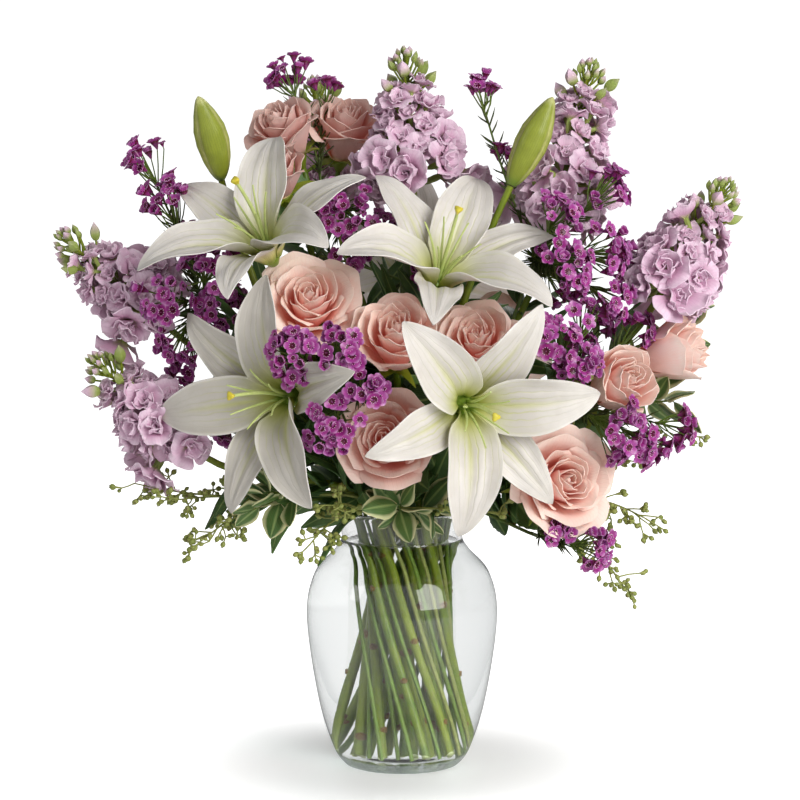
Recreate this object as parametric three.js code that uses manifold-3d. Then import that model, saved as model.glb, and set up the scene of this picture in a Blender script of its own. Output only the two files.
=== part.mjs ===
// A bouquet of white lilies, pink roses, lavender stock and purple waxflower in a clear glass vase
// of water, with seeded gum and mock orange leaves. Millimetres, +Z up, the viewer at -Y. The
// origin is the middle of the vase's foot, on the surface that it stands on.
import * as THREE from 'three';
import { ParametricGeometry } from 'three/addons/geometries/ParametricGeometry.js';
import { mergeVertices } from 'three/addons/utils/BufferGeometryUtils.js';
import Module from 'manifold-3d';

const wasm = await Module();
wasm.setup();

// ---- driving dimensions -------------------------------------------------------------------

const VASE_HEIGHT = 182;
const VASE_BELLY_R = 67.4;
const VASE_FOOT_R = 40;
const VASE_NECK_R = 42.7;
const VASE_NECK_Z = 164;
const VASE_RIM_R = 48.5;
const GLASS = 3; // wall
const GLASS_FLOOR = 6;
const WATER_LEVEL = 160;
const GAP = 0.3; // left between two pieces that touch

const STEM_TWIST = THREE.MathUtils.degToRad(85); // the hand-tied spiral, from neck down to cut end
const STEM_CUT_Z = 11; // height of the cut ends
const STEM_TOP_Z = 172; // height where the stems begin to bend
// Rings of stems in the neck: radius there, radius at the cut ends, and places round the ring.
const RINGS = {
  outer: { neck: 32, foot: 38, places: 24 },
  middle: { neck: 20, foot: 25, places: 16 },
  inner: { neck: 8, foot: 11, places: 6 },
};

const LILY_TEPAL = { length: 92, wide: 40, narrow: 30, thick: 0.9, ring: 7 };
const LILY_BUD = { length: 66, radius: 11.5 };
const PISTIL = 66;
const STEM_SIZES = {
  lily: { radius: 3.8, sides: 5 },
  rose: { radius: 2.8, sides: 4 },
  stock: { radius: 2.6, sides: 4 },
  spray: { radius: 1.4, sides: 4 },
};
const STOCK_FLORET_R = 20;
const STOCK_FLORETS = 10;
const WAX_FLORET_R = 6.6;
const SEED_R = 2.4;
const LEAF = { length: 24, half: 7 };

// ---- small tools --------------------------------------------------------------------------

const UP = new THREE.Vector3(0, 0, 1);
const vec = (p) => new THREE.Vector3(...p);
const turn = (degrees) => THREE.MathUtils.degToRad(degrees);

// A seeded random draw from 0 to 1, the same every run.
function randomFrom(seed) {
  let state = seed * 2654435761;
  return () => {
    state = (Math.imul(state ^ (state >>> 15), 2246822519) + 3266489917) >>> 0;
    return state / 4294967296;
  };
}

// The frame of a bloom: +Z along the way it faces, +X level and to its right, then rolled.
function facing(place, direction, roll = 0) {
  const z = direction.clone().normalize();
  const x = new THREE.Vector3().crossVectors(UP, z);
  if (x.lengthSq() < 1e-6) x.set(1, 0, 0);
  x.normalize();
  const y = new THREE.Vector3().crossVectors(z, x);
  const frame = new THREE.Matrix4().makeBasis(x, y, z);
  frame.multiply(new THREE.Matrix4().makeRotationZ(roll));
  return frame.setPosition(place);
}

// A closed geometry as a manifold solid, its doubled points merged and its collapsed faces dropped.
function solid(geometry) {
  const bare = geometry.index ? geometry.toNonIndexed() : geometry.clone();
  bare.deleteAttribute('normal');
  bare.deleteAttribute('uv');
  const merged = mergeVertices(bare, 1e-3);
  const faces = [];
  for (let i = 0; i < merged.index.count; i += 3) {
    const [a, b, c] = [0, 1, 2].map((k) => merged.index.getX(i + k));
    if (a !== b && b !== c && c !== a) faces.push(a, b, c);
  }
  const mesh = new wasm.Mesh({
    numProp: 3,
    vertProperties: merged.attributes.position.array,
    triVerts: new Uint32Array(faces),
  });
  return new wasm.Manifold(mesh);
}

const moved = (body, frame) => body.transform(frame.toArray());
const fused = (bodies) => wasm.Manifold.union(bodies);

// The largest body of a solid: a cut can leave scraps.
function largest(body) {
  return body.decompose().reduce((a, b) => (b.volume() > a.volume() ? b : a));
}

// A thin blade on the surface point(u, v): across u and along v, both from 0 to 1. Both faces are
// split into triangles alike.
function blade(point, across, along, thick) {
  const sheet = new ParametricGeometry((u, v, p) => p.copy(point(u, v)), across, along);
  const at = sheet.attributes.position;
  const normal = sheet.attributes.normal;
  const count = at.count;
  const positions = [];
  for (const side of [0.5, -0.5]) {
    for (let i = 0; i < count; i++) {
      const p = new THREE.Vector3().fromBufferAttribute(at, i);
      const n = new THREE.Vector3().fromBufferAttribute(normal, i);
      positions.push(...p.addScaledVector(n, side * thick).toArray());
    }
  }
  const faces = [...sheet.index.array];
  for (let i = 0; i < sheet.index.count; i += 3) {
    const [a, b, c] = [0, 1, 2].map((k) => sheet.index.getX(i + k) + count);
    faces.push(a, c, b);
  }
  const row = across + 1;
  const rim = [];
  for (let i = 0; i < across; i++) rim.push(i);
  for (let i = 0; i < along; i++) rim.push(i * row + across);
  for (let i = across; i > 0; i--) rim.push(along * row + i);
  for (let i = along; i > 0; i--) rim.push(i * row);
  rim.forEach((a, i) => {
    const b = rim[(i + 1) % rim.length];
    faces.push(a, a + count, b, b, a + count, b + count);
  });
  const made = new THREE.BufferGeometry();
  made.setAttribute('position', new THREE.Float32BufferAttribute(positions, 3));
  made.setIndex(faces);
  return made;
}

// A round rod along a curve.
function rod(curve, radius, sides, steps) {
  const section = new THREE.Shape();
  for (let i = 0; i < sides; i++) {
    const a = (i / sides) * 2 * Math.PI;
    section[i ? 'lineTo' : 'moveTo'](radius * Math.cos(a), radius * Math.sin(a));
  }
  return new THREE.ExtrudeGeometry(section, { steps, bevelEnabled: false, extrudePath: curve });
}

// A straight twig that thins to a point, from one place to another.
function twig(from, to, radius) {
  const along = new THREE.Vector3().subVectors(to, from);
  const cone = new THREE.ConeGeometry(radius, along.length(), 3);
  cone.translate(0, along.length() / 2, 0);
  const spin = new THREE.Quaternion().setFromUnitVectors(
    new THREE.Vector3(0, 1, 0),
    along.clone().normalize(),
  );
  cone.applyQuaternion(spin);
  cone.translate(...from.toArray());
  return solid(cone);
}

// A flower of a few petals cut from one shallow funnel: its throat is at the origin and its petals
// reach radius, rim high. The point of the funnel is root below the throat.
function funnel(petals, radius, rim, root, notch, parts) {
  const sides = petals * parts;
  const profile = [new THREE.Vector2(0, -root), new THREE.Vector2(radius, rim), new THREE.Vector2(0, 0)];
  const made = new THREE.LatheGeometry(profile, sides);
  made.rotateX(Math.PI / 2);
  const p = made.attributes.position;
  for (let i = 0; i < p.count; i++) {
    const out = Math.hypot(p.getX(i), p.getY(i));
    if (out < radius / 2) continue;
    const reach = Math.floor(i / profile.length) % parts === 0 ? notch : 1;
    p.setXY(i, p.getX(i) * reach, p.getY(i) * reach);
  }
  return solid(made);
}

// ---- materials ----------------------------------------------------------------------------

const finish = (color, roughness) =>
  new THREE.MeshStandardMaterial({ color, roughness, metalness: 0 });
const MATERIALS = {
  glass: new THREE.MeshStandardMaterial({
    color: 0xf2f7f6,
    roughness: 0.03,
    metalness: 0,
    transparent: true,
    opacity: 0.3,
  }),
  water: new THREE.MeshStandardMaterial({
    color: 0xe9f3f2,
    roughness: 0.02,
    metalness: 0,
    transparent: true,
    opacity: 0.2,
  }),
  lilyWhite: finish(0xf1f0e6, 0.5),
  lilyGreen: finish(0x8da63c, 0.5),
  rosePink: finish(0xecb9a9, 0.6),
  stemGreen: finish(0x5c7a2b, 0.5),
  stockLavender: finish(0xcfa3cc, 0.65),
  stockGreen: finish(0x8f9c5b, 0.6),
  waxPurple: finish(0x9c2f95, 0.5),
  gumGreen: finish(0x7c8b3f, 0.6),
  leafGreen: finish(0x3f5a26, 0.45),
};

const bouquet = new THREE.Group();
const placed = []; // { name, body } of every piece so far, in the bouquet's frame

// The surface of a solid.
function surface(body) {
  const mesh = body.getMesh();
  const geometry = new THREE.BufferGeometry();
  geometry.setAttribute('position', new THREE.BufferAttribute(mesh.vertProperties, 3));
  geometry.setIndex(new THREE.BufferAttribute(mesh.triVerts, 1));
  geometry.computeVertexNormals();
  return geometry;
}

// Adds one named piece from a solid in the bouquet's own frame.
function add(name, body, material) {
  const made = new THREE.Mesh(surface(body), material);
  made.name = name;
  bouquet.add(made);
  placed.push({ name, body });
}

// A solid with its surface moved outwards.
function swollen(body, by) {
  const geometry = surface(body);
  const { position, normal } = geometry.attributes;
  for (let i = 0; i < position.count; i++) {
    const p = new THREE.Vector3().fromBufferAttribute(position, i);
    p.addScaledVector(new THREE.Vector3().fromBufferAttribute(normal, i), by);
    position.setXYZ(i, p.x, p.y, p.z);
  }
  return solid(geometry);
}

// Adds one named piece, cut back where it would touch the pieces placed before it.
function addCleared(name, body, material) {
  let kept = body;
  const box = body.boundingBox();
  for (const other of placed) {
    const far = other.body.boundingBox();
    if ([0, 1, 2].some((k) => box.min[k] > far.max[k] + 1 || box.max[k] < far.min[k] - 1)) continue;
    for (let by = GAP; by < 5 * GAP && kept.minGap(other.body, GAP) < GAP / 2; by += GAP) {
      kept = largest(kept.subtract(swollen(other.body, by)));
    }
  }
  add(name, largest(solid(surface(kept))), material);
}

// Whether a solid keeps clear of every piece placed so far.
function isClear(body, room = 2 * GAP) {
  const box = body.boundingBox();
  return placed.every((other) => {
    const far = other.body.boundingBox();
    const apart = [0, 1, 2].some(
      (k) => box.min[k] > far.max[k] + room || box.max[k] < far.min[k] - room,
    );
    return apart || body.minGap(other.body, room) >= room;
  });
}

// ---- vase and water -----------------------------------------------------------------------

// The outside of the vase from foot to rim: a low belly, a drawn-in neck and a flared rim.
const vaseSide = new THREE.SplineCurve([
  new THREE.Vector2(VASE_FOOT_R, 0),
  new THREE.Vector2(48.5, 12),
  new THREE.Vector2(59.5, 48),
  new THREE.Vector2(VASE_BELLY_R, 105),
  new THREE.Vector2(62, 136),
  new THREE.Vector2(47, 154),
  new THREE.Vector2(VASE_NECK_R, VASE_NECK_Z),
  new THREE.Vector2(VASE_RIM_R, VASE_HEIGHT),
]);

// The side moved inwards by a wall, at the given heights.
function insideOfVase(wall, heights) {
  const points = Array.from({ length: 401 }, (_, i) => {
    const tangent = vaseSide.getTangent(i / 400);
    return vaseSide.getPoint(i / 400).add(new THREE.Vector2(-tangent.y, tangent.x).multiplyScalar(wall));
  });
  return heights.map((z) => {
    const above = Math.max(points.findIndex((p) => p.y >= z), 1);
    const [a, b] = [points[above - 1], points[above]];
    return new THREE.Vector2(THREE.MathUtils.mapLinear(z, a.y, b.y, a.x, b.x), z);
  });
}

const INSIDE_HEIGHTS = [GLASS_FLOOR, 14, 56, 105, 126, 142, WATER_LEVEL, VASE_HEIGHT - 2];

function makeVase() {
  const inside = insideOfVase(GLASS, INSIDE_HEIGHTS);
  const profile = [new THREE.Vector2(0, 0), ...vaseSide.getSpacedPoints(10), ...inside.reverse()];
  profile.push(new THREE.Vector2(0, GLASS_FLOOR));
  const made = new THREE.LatheGeometry(profile, 20);
  made.rotateX(Math.PI / 2);
  add('vase', solid(made), MATERIALS.glass);
}

// The water, with a plain straight hole round each stem.
function makeWater(holes) {
  const heights = INSIDE_HEIGHTS.filter((z) => z <= WATER_LEVEL);
  const side = insideOfVase(GLASS + 2 * GAP, heights);
  side[0].y += GAP;
  const profile = [new THREE.Vector2(0, side[0].y), ...side, new THREE.Vector2(0, WATER_LEVEL)];
  const made = new THREE.LatheGeometry(profile, 20);
  made.rotateX(Math.PI / 2);
  add('water', largest(solid(made).subtract(fused(holes))), MATERIALS.water);
}

// ---- stems --------------------------------------------------------------------------------

const waterHoles = [];

// A way through several curves, each cut into its own number of equal steps.
class StemWay extends THREE.Curve {
  constructor() {
    super();
    this.pieces = [];
    this.steps = 0;
  }

  extend(curve, steps) {
    this.pieces.push({ curve, steps });
    this.steps += steps;
    return this;
  }

  getPoint(t, target = new THREE.Vector3()) {
    let at = t * this.steps;
    let i = 0;
    while (i < this.pieces.length - 1 && at > this.pieces[i].steps) at -= this.pieces[i++].steps;
    return target.copy(this.pieces[i].curve.getPoint(at / this.pieces[i].steps));
  }

  getPointAt(t, target) {
    return this.getPoint(t, target);
  }

  getTangentAt(t, target) {
    return this.getTangent(t, target);
  }
}

// A bend that leaves one place in one direction and comes to another place in another.
function bend(from, leaving, to, coming) {
  const pull = from.distanceTo(to) * 0.4;
  return new THREE.CubicBezierCurve3(
    from,
    from.clone().addScaledVector(leaving.clone().normalize(), pull),
    to.clone().addScaledVector(coming.clone().normalize(), -pull),
    to,
  );
}

// The straight part of a stem, from its cut end to the neck, on one place of its ring.
function straightPart(ring, place) {
  const { neck, foot, places } = RINGS[ring];
  const angle = (place / places) * 2 * Math.PI;
  const low = angle + STEM_TWIST;
  const bottom = new THREE.Vector3(foot * Math.cos(low), foot * Math.sin(low), STEM_CUT_Z);
  const top = new THREE.Vector3(neck * Math.cos(angle), neck * Math.sin(angle), STEM_TOP_Z);
  return new THREE.LineCurve3(bottom, top);
}

// A stem from its cut end, through the neck and in one bend to its end; then straight on, if it
// goes through a head.
function stemWay(ring, place, end, coming, through) {
  const line = straightPart(ring, place);
  const rise = new THREE.Vector3().subVectors(line.v2, line.v1);
  const way = new StemWay().extend(line, 1).extend(bend(line.v2, rise, end, coming), 4);
  return through ? way.extend(new THREE.LineCurve3(end, through), 1) : way;
}

function noteHole(line, radius, sides) {
  const fit = radius + (1.2 * GAP) / Math.cos(Math.PI / sides);
  const hole = new THREE.LineCurve3(line.getPoint(-0.01), line.v2);
  waterHoles.push(solid(rod(hole, fit, sides, 1)));
}

// ---- lilies -------------------------------------------------------------------------------

// A lily tepal: it leaves the ring steeply and bends over to point outwards, on one arc, and wraps
// round the axis of the bloom. The wide inner ones are hollowed; the narrow outer ones lie behind.
function tepal(angle, isInner) {
  const { length, thick, ring } = LILY_TEPAL;
  const [from, to] = [turn(24), turn(104)];
  const radius = length / (to - from);
  const width = isInner ? LILY_TEPAL.wide : LILY_TEPAL.narrow;
  const point = (u, v) => {
    const lean = from + (to - from) * v;
    const half = (width / 2) * (0.22 * (1 - v) + 0.98 * Math.sin(Math.PI * v ** 0.86) ** 0.8 + 0.03);
    const side = 2 * u - 1;
    const forward = isInner ? 1 + 0.28 * half * side * side : -1 - 2 * Math.sin(Math.PI * v);
    const arc = ring + radius * (Math.cos(from) - Math.cos(lean));
    const around = angle + side * Math.min(half / arc, turn(isInner ? 55 : 50));
    const out = arc - forward * Math.cos(lean);
    const up = radius * (Math.sin(lean) - Math.sin(from)) + forward * Math.sin(lean);
    return new THREE.Vector3(out * Math.cos(around), out * Math.sin(around), up);
  };
  return solid(blade(point, 2, isInner ? 4 : 3, thick));
}

function makeLily([name, place, direction, angles]) {
  const { ring } = LILY_TEPAL;
  const bodies = angles.map((angle, i) => tepal(turn(angle), i % 2 === 0));
  const collar = new THREE.LatheGeometry(
    [
      [ring - 2, -1.5],
      [ring + 3.4, -1.5],
      [ring + 3.4, 2],
      [ring - 2, 2],
      [ring - 2, -1.5],
    ].map(([r, z]) => new THREE.Vector2(r, z)),
    6,
  );
  collar.rotateX(Math.PI / 2);
  bodies.push(solid(collar));
  addCleared(name, moved(largest(fused(bodies)), facing(vec(place), vec(direction))), MATERIALS.lilyWhite);
}

// The middle of a lily: the end of its stalk, from which the pistil and six stamens rise.
function lilyMiddle(place, direction) {
  const knob = new THREE.CylinderGeometry(LILY_TEPAL.ring - 2.5, LILY_TEPAL.ring - 2.7, 14, 6);
  knob.rotateX(Math.PI / 2);
  const stigma = new THREE.OctahedronGeometry(3, 0);
  stigma.translate(0, 3.4, PISTIL);
  const bodies = [solid(knob), solid(stigma), twig(vec([0, 0, 5]), vec([0, 3.4, PISTIL]), 1.6)];
  for (let i = 0; i < 6; i++) {
    const way = turn(60 * i + 30);
    const tip = vec([Math.cos(way) * 17, Math.sin(way) * 17, 0.78 * PISTIL]);
    bodies.push(twig(vec([Math.cos(way) * 2.6, Math.sin(way) * 2.6, 6]), tip, 1.1));
  }
  return moved(fused(bodies), facing(place, direction));
}

function makeLilyBud([name, place, direction]) {
  const { length, radius } = LILY_BUD;
  const side = [0.3, 0.78, 1, 0.86, 0.45].map((r, i) => new THREE.Vector2(r * radius, (i / 4.6) * length));
  const made = new THREE.LatheGeometry([new THREE.Vector2(0, 0), ...side, new THREE.Vector2(0, length)], 6);
  made.rotateX(Math.PI / 2);
  const way = vec(direction).normalize();
  const start = vec(place).addScaledVector(way, 2 * GAP);
  addCleared(name, moved(solid(made), facing(start, way)), MATERIALS.lilyGreen);
}

// ---- roses --------------------------------------------------------------------------------

// One rose petal: it rises from the middle, swells to the radius and turns back at its lip. Its two
// edges lie at different radii, so that it laps over its neighbour.
function rosePetal(angle, spread, root, radius, height, turnBack) {
  const point = (u, v) => {
    const side = 2 * u - 1;
    const around = angle + side * spread * (0.4 + 0.6 * v);
    const out = root + (radius - root) * Math.sin((Math.PI / 2) * v ** 0.7) + 2.2 * side * (0.3 + 0.7 * v);
    const up = 1.2 + height * (v - turnBack * v ** 3) - 0.16 * height * v * side * side;
    return new THREE.Vector3(out * Math.cos(around), out * Math.sin(around), up);
  };
  return solid(blade(point, 2, 2, 0.9));
}

// A rose bloom: a bud in a cup of three inner petals, and a whorl of five that open round it.
function makeRose([name, middle, direction, across, tall]) {
  const way = vec(direction).normalize();
  const back = vec(middle).addScaledVector(way, -tall);
  const profile = [
    [0, 0],
    [8.6, 0],
    [8.6, 2.6],
    [0.24 * across, 0.5 * tall],
    [0.27 * across, 0.94 * tall],
    [0.15 * across, 0.6 * tall],
    [0.1 * across, 0.97 * tall],
    [0, 0.84 * tall],
  ].map(([r, z]) => new THREE.Vector2(r, z));
  const heart = new THREE.LatheGeometry(profile, 6);
  heart.rotateX(Math.PI / 2);
  const p = heart.attributes.position;
  const rim = profile.findIndex(({ x }) => x === 0.27 * across);
  for (let i = rim; i < p.count; i += profile.length) {
    if (Math.floor(i / profile.length) % 2) p.setZ(i, 0.76 * tall);
  }
  const bodies = [solid(heart)];
  const petals = across > 60 ? 5 : 4;
  for (let i = 0; i < petals; i++) {
    const angle = turn((360 * i) / petals);
    bodies.push(rosePetal(angle, turn(210 / petals), 6.4, 0.5 * across, 0.95 * tall, 0.22));
  }
  addCleared(name, moved(largest(fused(bodies)), facing(back, way)), MATERIALS.rosePink);
}

// The green cup under a rose, on the end of its stem.
function calyx(back, way) {
  const cup = new THREE.CylinderGeometry(7, 2.4, 10, 5);
  cup.rotateX(Math.PI / 2);
  cup.translate(0, 0, -5 - GAP);
  return moved(solid(cup), facing(back, way));
}

// ---- stock --------------------------------------------------------------------------------

function makeStock([name, foot, top]) {
  const length = vec(foot).distanceTo(vec(top));
  const core = new THREE.CylinderGeometry(6, 8, length, 6);
  core.rotateX(Math.PI / 2);
  core.translate(0, 0, length / 2);
  const bodies = [solid(core)];
  for (let i = 0; i < STOCK_FLORETS; i++) {
    const t = (i + 0.5) / STOCK_FLORETS;
    const out = THREE.MathUtils.lerp(24, 12, t);
    const rise = turn(THREE.MathUtils.lerp(0, 62, t));
    const around = turn(137.5 * i);
    const way = new THREE.Vector3(Math.cos(rise), 0, Math.sin(rise)).applyAxisAngle(UP, around);
    const at = new THREE.Vector3(out, 0, length * (0.12 + 0.86 * t)).applyAxisAngle(UP, around);
    const size = STOCK_FLORET_R * (1 - 0.35 * t);
    bodies.push(moved(funnel(4, size, 4, out * 0.85, 0.66, 2), facing(at, way, i)));
  }
  const hole = new THREE.CylinderGeometry(3.5, 3.5, 3 * length, 6);
  hole.rotateX(Math.PI / 2);
  const head = largest(fused(bodies).subtract(solid(hole)));
  const way = vec(top).sub(vec(foot));
  addCleared(name, moved(head, facing(vec(foot), way)), MATERIALS.stockLavender);
}

// The green buds round the tip of a stock's stem, which reaches 14 past the top of its head.
function stockTip(top, way) {
  const bodies = [];
  for (let i = 0; i < 4; i++) {
    const bud = new THREE.OctahedronGeometry(4.8, 0);
    bud.scale(1, 1, 1.4);
    bud.translate(i === 3 ? 0 : 4.6, 0, i === 3 ? 17 : 9);
    bud.rotateZ(turn(120 * i + 20));
    bodies.push(solid(bud));
  }
  return moved(fused(bodies), facing(top, way));
}

// ---- where everything stands ------------------------------------------------------------------

// name, back of the bloom, way it faces, angles of its six tepals, wide and narrow in turn
const LILIES = [
  ['lily_upper_left', [-89, -70, 363], [-0.35, -0.55, 0.76], [222, 159, 102, 30, -18, -75]],
  ['lily_upper_right', [23, -65, 342], [0.23, -0.58, 0.78], [183, 111, 57, 9, -51, -117]],
  ['lily_lower_left', [-75, -85, 270], [-0.57, -0.82, 0.02], [192, 141, 84, 15, -54, -105]],
  ['lily_lower_right', [41, -101, 266], [0.29, -0.95, -0.09], [132, 60, 6, -48, -96, -162]],
  ['lily_back', [10, 88, 330], [0.1, 0.85, 0.5], [90, 30, -30, -90, -150, 150]],
];

// name, back of the bud, way it points
const LILY_BUDS = [
  ['lily_bud_left', [-124, -34, 414], [-0.2, -0.5, 0.85]],
  ['lily_bud_right', [74, -48, 410], [0.42, -0.1, 0.9]],
];

// name, middle of the bloom's face, way it faces, across, tall
const ROSES = [
  ['rose_top_left', [-91, -4, 462], [-0.4, -0.5, 0.77], 54, 42],
  ['rose_top_right', [-40, 28, 466], [0.1, -0.5, 0.86], 58, 44],
  ['rose_top_front', [-88, -50, 432], [-0.1, -0.7, 0.7], 46, 36],
  ['rose_middle_left', [-62, -98, 344], [0.05, -0.8, 0.6], 70, 48],
  ['rose_middle', [-2, -118, 322], [-0.02, -0.8, 0.6], 54, 54],
  ['rose_middle_right', [49, -90, 316], [-0.05, -0.8, 0.6], 62, 46],
  ['rose_low_middle', [-12, -118, 247], [-0.1, -0.94, 0.32], 70, 48],
  ['rose_low_right', [116, -104, 216], [0.42, -0.88, 0.2], 78, 50],
  ['rose_right', [158, -80, 284], [0.5, -0.78, 0.36], 50, 48],
  ['rose_far_right', [205, -44, 302], [0.88, -0.36, 0.3], 50, 48],
  ['rose_back_left', [-72, 96, 318], [-0.4, 0.85, 0.35], 76, 48],
  ['rose_back_right', [84, 92, 300], [0.45, 0.82, 0.35], 74, 48],
];

// name, foot of the head, top of the head
const STOCKS = [
  ['stock_top', [8, 0, 408], [3, 8, 484]],
  ['stock_top_right', [106, -5, 384], [128, 5, 476]],
  ['stock_right', [176, -24, 330], [216, -20, 396]],
  ['stock_left', [-170, -22, 318], [-222, -28, 364]],
  ['stock_low_left', [-146, -44, 232], [-198, -54, 280]],
  ['stock_back', [-50, 92, 396], [-62, 104, 466]],
];

// ends: where a stem comes to, the way it points there, and what it carries there
const ends = {};
for (const [name, place, direction] of LILIES) {
  const way = vec(direction).normalize();
  ends[name] = { at: vec(place).addScaledVector(way, -6.5), way, piece: lilyMiddle(vec(place), way) };
}
for (const [name, place, direction] of LILY_BUDS) {
  ends[name] = { at: vec(place), way: vec(direction) };
}
for (const [name, middle, direction, , tall] of ROSES) {
  const way = vec(direction).normalize();
  const back = vec(middle).addScaledVector(way, -tall);
  ends[name] = { at: back.clone().addScaledVector(way, -9), way, piece: calyx(back, way) };
}
for (const [name, foot, top] of STOCKS) {
  const way = vec(top).sub(vec(foot));
  const at = vec(foot).addScaledVector(way.clone().normalize(), -4);
  const through = vec(top).addScaledVector(way.clone().normalize(), 14);
  ends[name] = { at, way, through, piece: stockTip(vec(top), way) };
}

// name, ring and place of the straight part, heads carried, and for a stem that branches, its fork
// and its way there. The first head is on the stem's own end; the others branch off at the fork.
const STEMS = [
  ['stem_lily_left', 'middle', 10, ['lily_upper_left', 'lily_lower_left', 'lily_bud_left'],
    [-86, -24, 296], [-0.3, -0.2, 0.93]],
  ['stem_lily_right', 'middle', 15, ['lily_upper_right', 'lily_lower_right', 'lily_bud_right'],
    [26, -40, 276], [0.1, -0.25, 0.95]],
  ['stem_lily_back', 'middle', 5, ['lily_back']],
  ['stem_rose_top', 'middle', 9, ['rose_top_left', 'rose_top_right', 'rose_top_front'],
    [-66, -2, 372], [-0.25, -0.1, 0.9]],
  ['stem_rose_middle_left', 'middle', 12, ['rose_middle_left']],
  ['stem_rose_middle', 'middle', 13, ['rose_middle']],
  ['stem_rose_middle_right', 'middle', 1, ['rose_middle_right']],
  ['stem_rose_low_middle', 'outer', 20, ['rose_low_middle']],
  ['stem_rose_low_right', 'outer', 0, ['rose_low_right']],
  ['stem_rose_right', 'outer', 2, ['rose_right', 'rose_far_right'],
    [112, -34, 248], [0.8, -0.2, 0.5]],
  ['stem_rose_back_left', 'middle', 7, ['rose_back_left']],
  ['stem_rose_back_right', 'middle', 3, ['rose_back_right']],
  ['stem_stock_top', 'inner', 0, ['stock_top']],
  ['stem_stock_top_right', 'middle', 2, ['stock_top_right']],
  ['stem_stock_right', 'outer', 4, ['stock_right']],
  ['stem_stock_left', 'outer', 14, ['stock_left']],
  ['stem_stock_low_left', 'outer', 16, ['stock_low_left']],
  ['stem_stock_back', 'outer', 6, ['stock_back']],
];

function makeStem([name, ring, place, heads, fork, forkWay]) {
  const { radius, sides } = STEM_SIZES[name.split('_')[1]];
  const first = ends[heads[0]];
  const turnAt = fork ? vec(fork) : first.at;
  const way = stemWay(ring, place, turnAt, fork ? vec(forkWay) : first.way, first.through);
  if (fork) way.extend(bend(turnAt, vec(forkWay), first.at, first.way), 3);
  const bodies = [solid(rod(way, radius, sides, way.steps))];
  for (const head of heads.slice(1)) {
    const { at, way: coming } = ends[head];
    const leaving = at.clone().sub(turnAt).normalize();
    leaving.addScaledVector(vec(forkWay).normalize(), 0.35);
    bodies.push(solid(rod(bend(turnAt, leaving, at, coming), radius * 0.7, 4, 3)));
  }
  for (const head of heads) {
    if (ends[head].piece) bodies.push(ends[head].piece);
  }
  noteHole(straightPart(ring, place), radius, sides);
  addCleared(name, largest(fused(bodies)), MATERIALS.stemGreen);
}

// A loose tuft of small flowers on the end of a stalk, each narrowing to a point in the stalk.
function waxTuft(hub, centre, count, random) {
  const outwards = new THREE.Vector3().subVectors(centre, hub).normalize();
  const root = centre.clone().addScaledVector(outwards, -10);
  const bodies = [solid(rod(new THREE.LineCurve3(hub, root), 0.9, 3, 1))];
  const ways = [];
  for (let tries = 0; ways.length < count && tries < 60; tries++) {
    const way = new THREE.Vector3(random() - 0.5, random() - 0.5, random() - 0.5).normalize();
    if (way.dot(outwards) < -0.1 || ways.some((other) => other.angleTo(way) < turn(46))) continue;
    const long = 12 + 5 * random();
    const at = root.clone().addScaledVector(outwards, -0.4 - 3.2 * ways.length);
    at.addScaledVector(way, long);
    const body = moved(funnel(5, WAX_FLORET_R, 3, long + 0.4, 1, 1), facing(at, way, 6 * random()));
    if (!isClear(body, GAP)) continue;
    bodies.push(body);
    ways.push(way);
  }
  return bodies;
}

// Two twigs of seeds, which stand off them on their tips.
function gumTuft(hub, centre, count, random) {
  const outwards = new THREE.Vector3().subVectors(centre, hub).normalize();
  const side = new THREE.Vector3().crossVectors(outwards, UP).normalize();
  const start = hub.clone().addScaledVector(outwards, -0.5);
  const bodies = [];
  for (const spread of [-12, 12]) {
    const tip = centre.clone().addScaledVector(side, spread).addScaledVector(UP, -6);
    const along = new THREE.Vector3().subVectors(tip, hub).normalize();
    const twigBodies = [twig(start, tip, 1.1)];
    for (let i = 0; i < count; i++) {
      const off = new THREE.Vector3().crossVectors(along, UP).normalize();
      off.applyAxisAngle(along, turn(137.5 * i + 360 * random())).addScaledVector(along, 0.5);
      off.normalize();
      const at = hub.clone().lerp(tip, 0.45 + (0.45 * i) / Math.max(count - 1, 1));
      const seed = new THREE.SphereGeometry(SEED_R, 3, 2);
      seed.rotateX(Math.PI / 2);
      seed.scale(1, 1, 1.3);
      twigBodies.push(moved(solid(seed), facing(at.addScaledVector(off, 1.3 * SEED_R - 0.1), off)));
    }
    const whole = largest(fused(twigBodies));
    if (isClear(whole, GAP)) bodies.push(whole);
  }
  return bodies;
}

// A twig of small oval leaves, each hollowed along its midrib and bent outwards.
function leafTuft(hub, centre, count, random) {
  const outwards = new THREE.Vector3().subVectors(centre, hub).normalize();
  const bodies = [twig(hub.clone().addScaledVector(outwards, -0.5), centre, 1.4)];
  let grown = 0;
  for (let tries = 0; grown < count && tries < 30; tries++) {
    const lean = turn(35 + 30 * random());
    const point = (u, v) => {
      const half = LEAF.half * Math.sin(Math.PI * (0.06 + 0.9 * v)) ** 0.8;
      const side = 2 * u - 1;
      const far = LEAF.length * v;
      const lift = 0.2 * half * side * side;
      return new THREE.Vector3(half * side, far * Math.sin(lean) + lift, far * Math.cos(lean) - 4 * v * v);
    };
    const root = hub.clone().lerp(centre, 0.3 + (0.62 * grown) / (count - 1));
    const frame = facing(root, outwards, turn(137.5 * grown + 20 * tries));
    const body = moved(solid(blade(point, 2, 2, 0.9)), frame);
    if (!isClear(body, GAP)) continue;
    bodies.push(body);
    grown += 1;
  }
  return bodies;
}

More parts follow.
